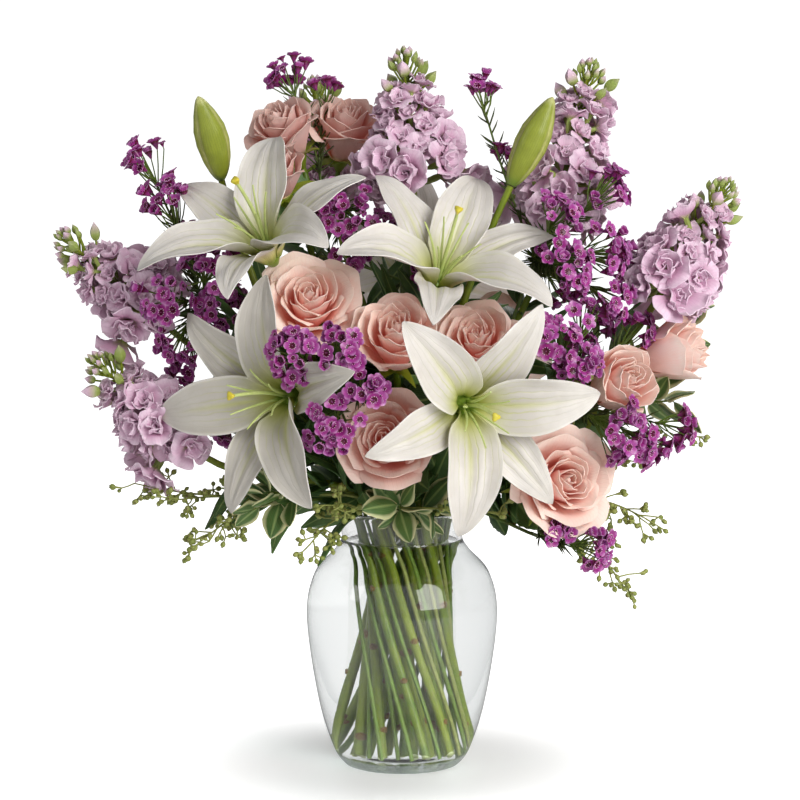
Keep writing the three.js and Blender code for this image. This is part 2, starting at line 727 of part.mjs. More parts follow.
// name, ring and place of the straight part, hub where it splits, way there, middles of its tufts,
// how many flowers, seeds or leaves each twig of a tuft holds
const SPRAYS = [
  ['wax_left', 'outer', 15, [-140, -22, 330], [-0.5, -0.1, 0.85],
    [[-173, -30, 424], [-160, -38, 397], [-164, -72, 335], [-131, -66, 350]], 2],
  ['wax_top', 'middle', 8, [-56, 10, 402], [-0.1, 0, 1], [[-78, 56, 484], [-36, -46, 396]], 4],
  ['wax_middle', 'outer', 18, [-38, -70, 262], [-0.2, -0.7, 0.5],
    [[-70, -140, 306], [-36, -136, 300], [-28, -140, 276]], 3],
  ['wax_top_right', 'outer', 1, [92, -24, 360], [0.3, -0.1, 0.9],
    [[53, 0, 470], [138, -50, 420], [106, -66, 352], [134, -60, 372]], 2],
  ['wax_right', 'outer', 23, [112, -50, 262], [0.5, -0.5, 0.6],
    [[108, -88, 304], [132, -78, 252], [184, -58, 246]], 3],
  ['wax_low_right', 'outer', 22, [92, -66, 172], [0.5, -0.6, -0.1], [[128, -96, 168]], 4],
  ['wax_back', 'middle', 6, [0, 64, 340], [0, 0.5, 0.8],
    [[-24, 110, 300], [46, 96, 370], [-110, 60, 370]], 3],
  ['gum_left', 'outer', 17, [-104, -44, 196], [-0.8, -0.2, 0.1],
    [[-134, -70, 186], [-176, -50, 204]], 2],
  ['gum_front', 'outer', 19, [-30, -62, 190], [-0.2, -0.9, 0.1],
    [[-56, -90, 184], [62, -82, 188]], 2],
  ['gum_right', 'outer', 21, [112, -40, 196], [0.8, -0.3, 0], [[150, -60, 150], [186, -58, 240]], 2],
  ['gum_back', 'middle', 4, [20, 74, 230], [0.1, 0.9, 0.1], [[60, 118, 226], [-30, 116, 214]], 2],
  ['leaves_left', 'outer', 13, [-70, -56, 196], [-0.5, -0.7, 0.2], [[-90, -84, 200]], 4],
  ['leaves_front', 'middle', 14, [0, -56, 188], [0, -0.9, 0.2], [[0, -84, 194]], 4],
  ['leaves_right', 'outer', 3, [160, -26, 262], [0.7, -0.2, 0.4],
    [[184, -34, 268], [200, 6, 316]], 2],
  ['leaves_back', 'outer', 11, [-60, 60, 214], [-0.6, 0.7, 0.2], [[-84, 86, 222]], 4],
];

const SPRAY_KINDS = {
  wax: { tuft: waxTuft, material: MATERIALS.waxPurple },
  gum: { tuft: gumTuft, material: MATERIALS.gumGreen },
  leaves: { tuft: leafTuft, material: MATERIALS.leafGreen },
};

function makeSpray([name, ring, place, hub, hubWay, tufts, count], index) {
  const { tuft, material } = SPRAY_KINDS[name.split('_')[0]];
  const { radius, sides } = STEM_SIZES.spray;
  const way = stemWay(ring, place, vec(hub), vec(hubWay));
  const random = randomFrom(index + 1);
  const bodies = [solid(rod(way, radius, sides, way.steps))];
  for (const centre of tufts) bodies.push(...tuft(vec(hub), vec(centre), count, random));
  noteHole(straightPart(ring, place), radius, sides);
  addCleared(name, largest(fused(bodies)), material);
}

makeVase();
LILIES.forEach(makeLily);
LILY_BUDS.forEach(makeLilyBud);
ROSES.forEach(makeRose);
STOCKS.forEach(makeStock);
STEMS.forEach(makeStem);
SPRAYS.forEach(makeSpray);
makeWater(waterHoles);

export default bouquet;
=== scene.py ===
# A bouquet of white lilies, pink roses, lavender stock, purple waxflower, seeded gum and mock
# orange leaves in a clear glass vase of water. Metres, +Z up, the viewer at -Y; the origin is the
# middle of the vase's foot. The sizes in millimetres are those of the solids.
import math
import random

import bpy
import numpy as np
from mathutils import Matrix, Vector


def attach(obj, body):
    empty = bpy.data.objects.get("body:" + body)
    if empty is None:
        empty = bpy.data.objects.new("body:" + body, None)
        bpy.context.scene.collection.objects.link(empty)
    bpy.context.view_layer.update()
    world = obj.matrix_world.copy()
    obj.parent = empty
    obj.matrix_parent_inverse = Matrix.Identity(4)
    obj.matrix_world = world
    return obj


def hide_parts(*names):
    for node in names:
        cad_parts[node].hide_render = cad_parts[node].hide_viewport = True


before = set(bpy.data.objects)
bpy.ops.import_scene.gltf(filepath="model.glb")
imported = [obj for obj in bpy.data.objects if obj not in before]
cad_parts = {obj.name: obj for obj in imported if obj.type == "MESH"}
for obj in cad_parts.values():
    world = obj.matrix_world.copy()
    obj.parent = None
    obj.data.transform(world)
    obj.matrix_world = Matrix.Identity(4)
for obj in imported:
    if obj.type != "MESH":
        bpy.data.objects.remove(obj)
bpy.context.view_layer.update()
scene = bpy.context.scene
scene.view_settings.view_transform = "Standard"

# ---- the studio ---------------------------------------------------------------------------------
# A white table top that runs out of sight, a white room, and three soft boxes: a strong one above
# and to the right of the viewer, a tall one on the left and one behind. The viewer stands 2 m off.

SOFT_BOXES = [  # name, place, what it points at, width, height, power
    ("soft_box_right", (1.2, -1.6, 1.05), (0.0, 0, 0.3), 1.2, 1.4, 40),
    ("soft_box_left", (-1.6, -0.9, 1.1), (-0.02, 0, 0.3), 0.5, 1.0, 5),
    ("soft_box_behind", (0.5, 1.7, 1.5), (0, 0, 0.3), 1.0, 0.8, 10),
]
CAMERA_PLACE = (-0.0014, -2.0, 0.45)
CAMERA_DIP = math.radians(5.46)  # how far down it looks
CAMERA_LENS, CAMERA_SENSOR = 128.57, 36.0
LAMP_COLOUR = (1.0, 0.985, 0.965)
TABLE_REACH = 30
WHITE = (1, 1, 1, 1)


def shown(name, data):  # a new object in the scene
    made = bpy.data.objects.new(name, data)
    scene.collection.objects.link(made)
    return made


def meshed(name, points, edges, faces):  # a new object with a mesh of its own
    mesh = bpy.data.meshes.new(name)
    mesh.from_pydata(points, edges, faces)
    return shown(name, mesh)


camera = shown("camera", bpy.data.cameras.new("camera"))
camera.data.sensor_width = CAMERA_SENSOR
camera.data.lens = CAMERA_LENS
camera.data.clip_start = 0.05
camera.location = CAMERA_PLACE
camera.rotation_euler = (math.radians(90) - CAMERA_DIP, 0, 0)
scene.camera = camera

for name, place, target, width, height, power in SOFT_BOXES:
    lamp = bpy.data.lights.new(name, "AREA")
    lamp.shape = "RECTANGLE"
    lamp.size, lamp.size_y = width, height
    lamp.energy = power
    lamp.color = LAMP_COLOUR
    holder = shown(name, lamp)
    holder.location = place
    holder.rotation_euler = (Vector(target) - Vector(place)).to_track_quat("-Z", "Y").to_euler()
    holder.visible_transmission = False


# What runs from node to node. A sum with it adds the node that works the sum out.
class Wire:
    def __init__(self, socket):
        self.socket, self.tree = socket, socket.id_data

    def maths(self, operation, other=0.0):
        return node(self.tree, "ShaderNodeMath", {0: self, 1: other}, operation=operation)[0]

    def __add__(self, other):
        return self.maths("ADD", other)

    def __sub__(self, other):
        return self.maths("SUBTRACT", other)

    def __mul__(self, other):
        return self.maths("MULTIPLY", other)

    def ramp(self, low, high, to_low=0.0, to_high=1.0, kind="SMOOTHSTEP"):
        values = {"Value": self, "From Min": low, "From Max": high, "To Min": to_low, "To Max": to_high}
        return node(self.tree, "ShaderNodeMapRange", values, interpolation_type=kind)[0]

    def between(self, first, second):  # one colour turning into another, with this as the mask
        return node(self.tree, "ShaderNodeMix", {0: self, 6: first, 7: second}, data_type="RGBA")[2]


# Sets a node's inputs: a wire is joined to its socket, a plain value is set. They go by name, or
# by number where a node has more than one of that name, as a mix and a random value do.
def fill(made, values):
    for key, value in values.items():
        if isinstance(value, Wire):
            value.tree.links.new(value.socket, made.inputs[key])
        else:
            made.inputs[key].default_value = value


# Adds a node to a tree, with its settings and inputs, and gives its outputs by number and name.
def node(tree, kind, values={}, **settings):
    made = tree.nodes.new(kind)
    for setting, value in settings.items():
        setattr(made, setting, value)
    fill(made, values)
    wires = [Wire(socket) for socket in made.outputs]
    return {**{wire.socket.name: wire for wire in wires}, **dict(enumerate(wires))}


# A new node group, what comes into it by name, and the node that its results go to.
def group_of(name, kind, inputs, outputs):
    tree = bpy.data.node_groups.new(name, kind)
    for in_out, sockets in (("INPUT", inputs), ("OUTPUT", outputs)):
        for label, sort in sockets.items():
            tree.interface.new_socket(label, in_out=in_out, socket_type="NodeSocket" + sort)
    return tree, node(tree, "NodeGroupInput"), tree.nodes.new("NodeGroupOutput")


# A new material, its nodes and its shader, with the values that stay the same all over.
def finish_of(name, roughness, **constants):
    material = bpy.data.materials.new(name)
    material.use_nodes = True
    tree = material.node_tree
    constants = {socket.replace("_", " "): value for socket, value in constants.items()}
    fill(tree.nodes["Principled BSDF"], {"Roughness": roughness, **constants})
    return material, tree, tree.nodes["Principled BSDF"]


# Gives a shader its colour, and a bump from a height.
def cover(shader, colour, height, distance, strength):
    values = {"Height": height, "Distance": distance, "Strength": strength}
    fill(shader, {"Base Color": colour, "Normal": node(shader.id_data, "ShaderNodeBump", values)[0]})


# What shows is the first shader, or the second as far as the mask says.
def mix_out(tree, output, mask, first, second):
    mixed = node(tree, "ShaderNodeMixShader", {0: mask, 1: Wire(first.outputs[0]), 2: second})
    fill(tree.nodes[output], {"Surface": mixed[0]})


# Mottle: soft uneven patches, as no petal, stem or painted table is one even colour.
mottle, given, result = group_of(
    "mottle",
    "ShaderNodeTree",
    {"Size": "Float", "Sharpness": "Float"},
    {"Mask": "Float", "Fine": "Float"},
)
place = node(mottle, "ShaderNodeTexCoord")["Object"]
values = {"Vector": place, "Scale": given["Size"], "Detail": 4.0, "Roughness": given["Sharpness"]}
patches = node(mottle, "ShaderNodeTexNoise", values)
grain = node(mottle, "ShaderNodeTexNoise", {"Vector": place, "Scale": 1900.0, "Detail": 2.0})
fill(result, {"Mask": patches[0].ramp(0.34, 0.66), "Fine": grain[0]})


def mottled(tree, size, sharpness=0.55):
    return node(tree, "ShaderNodeGroup", {"Size": size, "Sharpness": sharpness}, node_tree=mottle)


# 1 where the viewer sees a thing directly or through glass, and 0 where it only lights another.
def seen_directly(rays):
    straight = rays["Is Camera Ray"].maths("MAXIMUM", rays["Is Transmission Ray"])
    return straight.maths("GREATER_THAN", rays["Diffuse Depth"] + 0.5)


room = bpy.data.worlds.new("white_room")
scene.world = room
room.use_nodes = True
sky = room.node_tree
dim = sky.nodes["Background"]
fill(dim, {"Color": (0.97, 0.985, 1.0, 1), "Strength": 0.2})
rays = node(sky, "ShaderNodeLightPath")
brightness = rays["Is Transmission Ray"].ramp(0, 1, 1.1, 0.9, "LINEAR")
bright = node(sky, "ShaderNodeBackground", {"Color": WHITE, "Strength": brightness})
mix_out(sky, "World Output", seen_directly(rays), dim, bright[0])

# the table glows, painted light that keeps it as white as paper under the lamps; it glows less round the
# vase, a painted shadow round the foot, and in reflections, and more right under it, where it is seen
# through the thick foot: painted light that the glass gathers there
table_white, tree, shader = finish_of("table_white", 0.55, Emission_Color=WHITE)
patches = mottled(tree, 3.0)
rays = node(tree, "ShaderNodeLightPath")
through = rays["Is Transmission Ray"]
white = patches["Mask"].between((0.97, 0.97, 0.97, 1), (0.95, 0.955, 0.96, 1))
# painted reflection: in reflections the table is painted dark grey
white = (rays["Is Glossy Ray"] * 0.75).between(white, (0.2, 0.2, 0.2, 1))
place = node(tree, "ShaderNodeTexCoord")["Object"]
from_vase = node(tree, "ShaderNodeVectorMath", {0: place}, operation="LENGTH")["Value"]
painted_light_under_vase = from_vase.ramp(0.11, 0.07, 0.0, 1.3) * through
table_painted_glow = from_vase.ramp(0.06, 0.24, 0.12, 1.0).maths("MAXIMUM", painted_light_under_vase)
table_painted_glow = table_painted_glow * seen_directly(rays).ramp(0, 1, 0.12, 1.0, "LINEAR")
fill(shader, {"Emission Strength": table_painted_glow * through.ramp(0, 1, 1.0, 0.68, "LINEAR")})
cover(shader, white, patches["Fine"], 0.00002, 0.3)
corners = [(x * TABLE_REACH, y * TABLE_REACH, 0) for x, y in ((-1, -1), (1, -1), (1, 1), (-1, 1))]
table_top = meshed("table_top", corners, [], [(0, 1, 2, 3)])
table_top.data.materials.append(table_white)

# ---- the vase -----------------------------------------------------------------------------------
# Blown clear glass, 182 mm tall: a low belly, a drawn-in neck and a flared rim that is fire
# polished round. The base is thick, and hollowed a little underneath so that it stands on a ring.

MM = 0.001
VASE_SIDE = [  # the outside, radius and height
    (40, 0), (48.5, 12), (59.5, 48), (67.4, 105), (62, 136), (47, 154), (42.7, 164), (48.5, 182),
]
BASE = [  # the underside, from the middle out
    (0, 1.6), (20, 1.5), (34, 0.9), (37.0, 0.15), (38.4, 0), (40.6, 0.8),
]
GLASS = 3  # the thickness of the wall
GLASS_FLOOR = 6
RIM = GLASS / 2  # the radius of its fire-polished edge
SIDES = 128


# A smooth way through the given points, as a list of points.
def smooth_way(points, steps):
    points = [np.array(p, float) for p in points]
    made = []
    for i in range(len(points) - 1):
        nearby = [points[min(max(k, 0), len(points) - 1)] for k in range(i - 1, i + 3)]
        before, start, end, after = nearby
        leaving, coming = (end - before) / 2, (after - start) / 2
        cubed = 2 * start - 2 * end + leaving + coming
        squared = -3 * start + 3 * end - 2 * leaving - coming
        for t in np.arange(steps) / steps:
            made.append(cubed * t**3 + squared * t**2 + leaving * t + start)
    return made + [points[-1]]


# The side moved inwards by a wall.
def inner_side(wall):
    side = np.array(smooth_way(VASE_SIDE, 12))
    slope = np.gradient(side, axis=0)
    slope /= np.linalg.norm(slope, axis=1, keepdims=True)
    return side + wall * np.stack([-slope[:, 1], slope[:, 0]], axis=1)


def smooth(made, sharp_from):  # smooth, but for the edges that turn by more than this many degrees
    made.data.shade_smooth()
    made.data.set_sharp_from_angle(angle=math.radians(sharp_from))


# A closed body turned from a profile that starts and ends on the axis, bottom first.
def turned(name, profile):
    points, rows = [], []
    for r, z in profile:
        sides = SIDES if r > 0 else 1
        rows.append([len(points) + i % sides for i in range(SIDES)])
        for a in [2 * math.pi * i / SIDES for i in range(sides)]:
            points.append((r * MM * math.cos(a), r * MM * math.sin(a), z * MM))
    faces = []
    for low, high in zip(rows, rows[1:]):
        for corners in zip(low, low[1:] + low[:1], high[1:] + high[:1], high):
            faces.append(tuple(dict.fromkeys(corners)))
    made = meshed(name, points, [], faces)
    smooth(made, 40)
    return made


# Lets light towards the lamps, and a share of the rest, go straight through a clear body.
def let_through(tree, shader, tint, share=None):
    mask = node(tree, "ShaderNodeLightPath")["Is Shadow Ray"]
    mask = mask.maths("MAXIMUM", share) if share else mask
    clear = node(tree, "ShaderNodeBsdfTransparent", {"Color": tint})[0]
    mix_out(tree, "Material Output", mask, shader, clear)


outside = smooth_way(VASE_SIDE, 12)
height = VASE_SIDE[-1][1]
inside = [p for p in inner_side(GLASS) if GLASS_FLOOR + 3 < p[1] < height - 2.5]
rim_middle = (outside[-1][0] + inside[-1][0]) / 2
over_it = np.radians(range(0, 181, 30))
rim = [(rim_middle + RIM * math.cos(a), height - RIM + RIM * math.sin(a)) for a in over_it]
edge = inside[0][0]
floor = [(edge - 1.2, GLASS_FLOOR + 1.4), (edge - 4, GLASS_FLOOR + 0.3)]
floor += [(20, GLASS_FLOOR), (0, GLASS_FLOOR + 0.6)]
side = [p for p in outside if 2 < p[1] < height - 2]
vase = turned("vase_glass", BASE + side + rim + inside[::-1] + floor)

glass, tree, shader = finish_of("clear_glass", 0.0, IOR=1.5, Transmission_Weight=1.0)
facing_off = node(tree, "ShaderNodeLayerWeight", {"Blend": 0.35})["Facing"]
height = node(tree, "ShaderNodeSeparateXYZ", {0: node(tree, "ShaderNodeTexCoord")["Object"]})[2]
# painted shade: the glass is painted greyer where it is seen edge-on, but not down at the foot
painted_edge_shade = facing_off.ramp(0.55, 1.0) * height.ramp(0.008, 0.016)
tint = painted_edge_shade.between((0.99, 0.995, 0.995, 1), (0.6, 0.65, 0.65, 1))
cover(shader, tint, mottled(tree, 22.0)["Mask"], 0.00025, 0.12)
let_through(tree, shader, (0.9, 0.92, 0.92, 1), height.ramp(0.012, 0.006, 0.0, 0.6))
vase.data.materials.append(glass)
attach(vase, "root")
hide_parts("vase")

# ---- the water ----------------------------------------------------------------------------------
# Clear water, 160 mm deep, which climbs the glass a little at its edge. It reaches a hair into the
# wall, so that light goes straight from glass to water, with no film of air between.

WATER_LEVEL = 160
wet = [tuple(p) for p in inner_side(GLASS - 0.35) if GLASS_FLOOR + 2 < p[1] < WATER_LEVEL]
bottom = [(0, GLASS_FLOOR - 0.3), (20, GLASS_FLOOR - 0.5), (wet[0][0] - 4, GLASS_FLOOR - 0.2)]
edge = wet[-1][0] - 0.4
climb = [(edge + 0.3, WATER_LEVEL + 0.9), (edge - 0.8, WATER_LEVEL + 0.35), (edge - 2.4, WATER_LEVEL)]
water = turned("vase_water", bottom + wet + climb + [(0, WATER_LEVEL)])
clear_water, tree, shader = finish_of("clear_water", 0.0, IOR=1.333, Transmission_Weight=1.0)
ripple = mottled(tree, 14.0)["Mask"]
cover(shader, ripple.between((0.985, 0.995, 0.99, 1), (0.97, 0.985, 0.98, 1)), ripple, 0.0001, 0.1)
let_through(tree, shader, (0.96, 0.98, 0.97, 1))
water.data.materials.append(clear_water)
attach(water, "root")
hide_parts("water")

# ---- the lilies ---------------------------------------------------------------------------------
# Five white lilies, one of them at the back. Each has three broad tepals in front of three narrower
# ones, ribbed lengthwise and waved along the margins, that leave a green throat and bend back.
# From the throat rise six pale, bare filaments and a style with its stigma.

LILIES = [  # name, back, way it faces, angles of its tepals, broad and narrow in turn, share of painted shade
    ("lily_upper_left", (-89, -70, 363), (-0.35, -0.55, 0.76), (222, 159, 102, 30, -18, -75), 0),
    ("lily_upper_right", (23, -65, 342), (0.23, -0.58, 0.78), (183, 111, 57, 9, -51, -117), 0),
    ("lily_lower_left", (-75, -85, 270), (-0.57, -0.82, 0.02), (192, 141, 84, 15, -54, -105), 0.45),
    ("lily_lower_right", (41, -101, 266), (0.29, -0.95, -0.09), (132, 60, 6, -48, -96, -162), 0.15),
    ("lily_back", (10, 88, 330), (0.1, 0.85, 0.5), (90, 30, -30, -90, -150, 150), 0),
]
TEPAL_LENGTH = 92
TEPAL_WIDE = 40
TEPAL_NARROW = 30
TEPAL_RING = 7
TEPAL_FIRST_LEAN = math.radians(24)
TEPAL_LAST_LEAN = math.radians(104)
PISTIL = 66


# The frame of a bloom: +Z along the way it faces, +X level and to its right, then rolled.
def facing(place, way, roll=0.0):
    z = Vector(way).normalized()
    x = Vector((0, 0, 1)).cross(z)
    x = x.normalized() if x.length > 1e-3 else Vector((1, 0, 0))
    made = Matrix((x, z.cross(x), z)).transposed().to_4x4() @ Matrix.Rotation(roll, 4, "Z")
    made.translation = Vector(place)
    return made


# Many thin closed blades and rods in one mesh, with a UV map of its own and marks, numbers that
# the finish reads.
class Blades:
    def __init__(self):
        self.points, self.faces, self.maps, self.marks, self.count = [], [], [], {}, 0

    # A blade, from a grid of points with rows along it and columns across.
    def add(self, grid, thick, place=None, **marks):
        rows, columns = grid.shape[:2]
        normal = np.cross(np.gradient(grid, axis=1), np.gradient(grid, axis=0))
        normal /= np.maximum(np.linalg.norm(normal, axis=2, keepdims=True), 1e-9)
        points = np.concatenate([(grid + face * normal * thick / 2).reshape(-1, 3) for face in (1, -1)])
        number = np.arange(rows * columns).reshape(rows, columns)
        front = np.stack([number[:-1, :-1], number[:-1, 1:], number[1:, 1:], number[1:, :-1]], axis=-1)
        front = front.reshape(-1, 4)
        rim = np.concatenate([number[0, :-1], number[:-1, -1], number[-1, :0:-1], number[:0:-1, 0]])
        ahead = np.roll(rim, -1)
        side = np.stack([ahead, rim, rim + number.size, ahead + number.size], axis=-1)
        across, along = np.meshgrid(np.linspace(0, 1, columns), np.linspace(0, 1, rows))
        flat = np.tile(np.stack([across, along], axis=-1).reshape(-1, 2), (2, 1))
        faces = np.concatenate([front, front[:, ::-1] + number.size, side])
        for key, mark in marks.items():
            marks[key] = np.tile(np.ravel(mark), 2) if np.ndim(mark) else mark
        self.put(points, faces, flat, place, back=np.repeat([0.0, 1.0], number.size), **marks)

    # A round rod; a mark may be told by how far along the rod a point is.
    def rod(self, points, radii, sides, place=None, **marks):
        made, faces, flat = rod(points, radii, sides)
        marks = {key: mark(flat[:, 1]) if callable(mark) else mark for key, mark in marks.items()}
        self.put(made, faces, flat, place, **marks)

    def put(self, points, faces, flat, place=None, **marks):
        if place is not None:
            points = points @ np.array(place.to_3x3()).T + np.array(place.translation)
        self.points.append(points)
        self.faces += [tuple(dict.fromkeys(face)) for face in (np.array(faces) + self.count).tolist()]
        self.maps.append(flat)
        for key in sorted({*self.marks, *marks}):
            row = self.marks.setdefault(key, [np.zeros(self.count)])
            row.append(np.broadcast_to(np.asarray(marks.get(key, 0.0), float), len(points)))
        self.count += len(points)

    def object(self, name, material=None, scale=MM):
        made = meshed(name, (np.concatenate(self.points) * scale).tolist(), [], self.faces)
        mesh = made.data
        corners = np.zeros(len(mesh.loops), int)
        mesh.loops.foreach_get("vertex_index", corners)
        layer = mesh.uv_layers.new(name="UVMap")
        layer.data.foreach_set("uv", np.concatenate(self.maps)[corners].ravel())
        for key, rows in self.marks.items():
            mesh.attributes.new(key, "FLOAT", "POINT").data.foreach_set("value", np.concatenate(rows))
        smooth(made, 55)
        if material:
            mesh.materials.append(material)
        return made


# A round rod through points, closed at both ends: its points, faces and map. It has a radius, or
# one for each point, or one for each point and side.
def rod(points, radii, sides):
    points = np.array(points, float)
    radii = np.broadcast_to(np.asarray(radii, float).T, (sides, len(points))).T
    ways = np.gradient(points, axis=0)
    ways /= np.linalg.norm(ways, axis=1, keepdims=True)
    angles = 2 * math.pi * np.arange(sides)[:, None] / sides
    start = np.cross(ways[0], [0.31, 0.17, 0.93])
    made = []
    for point, way, radius in zip(points, ways, radii):
        start = start - way * np.dot(start, way)
        start /= np.linalg.norm(start)
        spoke = np.cos(angles) * start + np.sin(angles) * np.cross(way, start)
        made.append(point + radius[:, None] * spoke)
    made += [points[:1], points[-1:]]
    flat = [(i / sides, v) for v in np.linspace(0, 1, len(points)) for i in range(sides)]
    number = np.arange(len(flat)).reshape(-1, sides)
    ahead = np.roll(number, -1, axis=1)
    faces = np.stack([number[:-1], ahead[:-1], ahead[1:], number[1:]], axis=-1).reshape(-1, 4).tolist()
    for i, j, far_i, far_j in zip(number[0], ahead[0], number[-1], ahead[-1]):
        faces += [(number.size, j, i, i), (number.size + 1, far_i, far_j, far_j)]
    return np.concatenate(made), faces, np.array(flat + [(0.5, 0), (0.5, 1)])


def sheet(rows, columns):  # how far along each row of a blade is, and how far to the side each column
    return np.linspace(0, 1, rows)[:, None], np.linspace(-1, 1, columns)[None, :]


def run(steps):  # how far a blade has come at each row, from the steps between rows
    return np.concatenate([[[0]], np.cumsum(steps, axis=0)])


def wheel(out, around, up):  # points from how far out, which way round and how high they lie
    return np.stack([out * np.cos(around), out * np.sin(around), up + 0 * around], axis=-1)


def upright(heights):  # points on the axis
    return [(0, 0, height) for height in heights]


def tepal(angle, is_broad, draw):
    v, side = sheet(36, 21)
    curl = draw.uniform(0.05, 0.4)
    lean = TEPAL_FIRST_LEAN + (TEPAL_LAST_LEAN - TEPAL_FIRST_LEAN) * v + draw.uniform(-0.06, 0.04) * v
    lean = lean + curl * np.clip((v - 0.74) / 0.26, 0, 1) ** 2
    step = TEPAL_LENGTH / (len(v) - 1)
    middle = (lean[1:] + lean[:-1]) / 2
    arc = TEPAL_RING + run(np.sin(middle)) * step
    rise = run(np.cos(middle)) * step
    width = TEPAL_WIDE if is_broad else TEPAL_NARROW
    half = width / 2 * (0.22 * (1 - v) + 0.98 * np.abs(np.sin(math.pi * v**0.86)) ** 0.8 + 0.03)
    phase = draw.uniform(0, 6.28)
    swing = np.sin(2 * math.pi * (2.3 * v + 0.4 * side) + phase)
    waves = 2.0 * np.abs(side) ** 3 * swing * np.sin(math.pi * v)
    ribs = 0.8 * np.exp(-(((np.abs(side) - 0.3) / 0.13) ** 2)) - 1.3 * np.exp(-((side / 0.13) ** 2))
    ribs = ribs - 0.3 * np.exp(-(((np.abs(side) - 0.55) / 0.09) ** 2))
    ribs = ribs * np.sin(math.pi * np.clip(v * 1.1, 0, 1)) ** 0.6
    cup = 1 + 0.28 * half * side**2 if is_broad else -1 - 2 * np.sin(math.pi * v) + 0.1 * half * side**2
    forward = cup + waves + ribs
    around = math.radians(angle) + side * np.minimum(half / arc, math.radians(55 if is_broad else 50))
    around = around + draw.uniform(-0.05, 0.05) * v**2
    return wheel(arc - forward * np.cos(lean), around, rise + forward * np.sin(lean))


# Veins that run along a petal or a leaf and spread with it, from its own UV map.
veins, given, result = group_of(
    "veins",
    "ShaderNodeTree",
    {"Lines": "Float", "Unevenness": "Float"},
    {"Vein": "Float", "Midrib": "Float", "Across": "Float", "Along": "Float"},
)
own_map = node(veins, "ShaderNodeSeparateXYZ", {0: node(veins, "ShaderNodeUVMap")[0]})
place = node(veins, "ShaderNodeTexCoord")["Object"]
wander = node(veins, "ShaderNodeTexNoise", {"Vector": place, "Scale": 90.0, "Detail": 2.0})[0]
from_middle = own_map[0] - 0.5
line = (from_middle * given["Lines"] + (wander - 0.5) * given["Unevenness"]).maths("PINGPONG", 0.5)
midrib = from_middle.maths("ABSOLUTE").ramp(0.09, 0.0)
fill(result, {"Vein": line.ramp(0.16, 0.0), "Midrib": midrib, "Across": own_map[0], "Along": own_map[1]})


def veined(tree, lines, unevenness):
    return node(tree, "ShaderNodeGroup", {"Lines": lines, "Unevenness": unevenness}, node_tree=veins)


def paint(shade):  # a colour written as on a paint card, for the shader
    parts = [(shade >> k & 255) / 255 for k in (16, 8, 0)]
    return tuple(p / 12.92 if p < 0.04045 else ((p + 0.055) / 1.055) ** 2.4 for p in parts) + (1.0,)


def painted(first, *coats):  # a colour with others over it, each as far as its mask says
    colour = paint(first)
    for mask, shade in coats:
        colour = mask.between(colour, paint(shade))
    return colour


def mark(tree, name):  # a mark on the mesh, as a mask
    return node(tree, "ShaderNodeAttribute", attribute_name=name)["Fac"]


lily_white, tree, shader = finish_of(
    "lily_white", 0.42,
    Subsurface_Weight=0.12, Subsurface_Scale=0.002, Subsurface_Radius=(1.0, 0.9, 0.6),
)
vein = veined(tree, 9.0, 0.9)
patch = mottled(tree, 60.0)
along = vein["Along"]
margin = (vein["Across"] - 0.5).maths("ABSOLUTE")
line = vein["Vein"] * margin.ramp(0.1, 0.4, 1.0, 0.35)
rib = vein["Midrib"] * along.ramp(0.9, 0.2)
streak = line * along.ramp(0.75, 0.25)
colour = painted(
    0xE2DDD7,
    (patch["Mask"] * 0.6, 0xD4CEC7),
    (line * 0.2, 0xC4C4AC),
    # painted shade: the lilies that hang in shade low down are painted greyer
    (mark(tree, "grey"), 0xA39E90),
    (margin.ramp(0.42, 0.5, 0, 0.7), 0xEAE6DF),
    (along.ramp(0.42, 0.04).maths("MAXIMUM", rib.maths("MAXIMUM", streak) * 0.66), 0xC9CC6C),
    (along.ramp(0.12, 0.0), 0x7F9A34),
)
cover(shader, colour, patch["Fine"] * 0.25 - line, 0.0003, 0.6)

pistil_green, tree, shader = finish_of("pistil_green", 0.38)
patch = mottled(tree, 240.0)
coats = (mark(tree, "tip"), 0xDDC93A), (mark(tree, "root"), 0x7C9A33), (patch["Mask"] * 0.3, 0xA9BC55)
cover(shader, painted(0xC9D58A, *coats), patch["Fine"], 0.0001, 0.4)

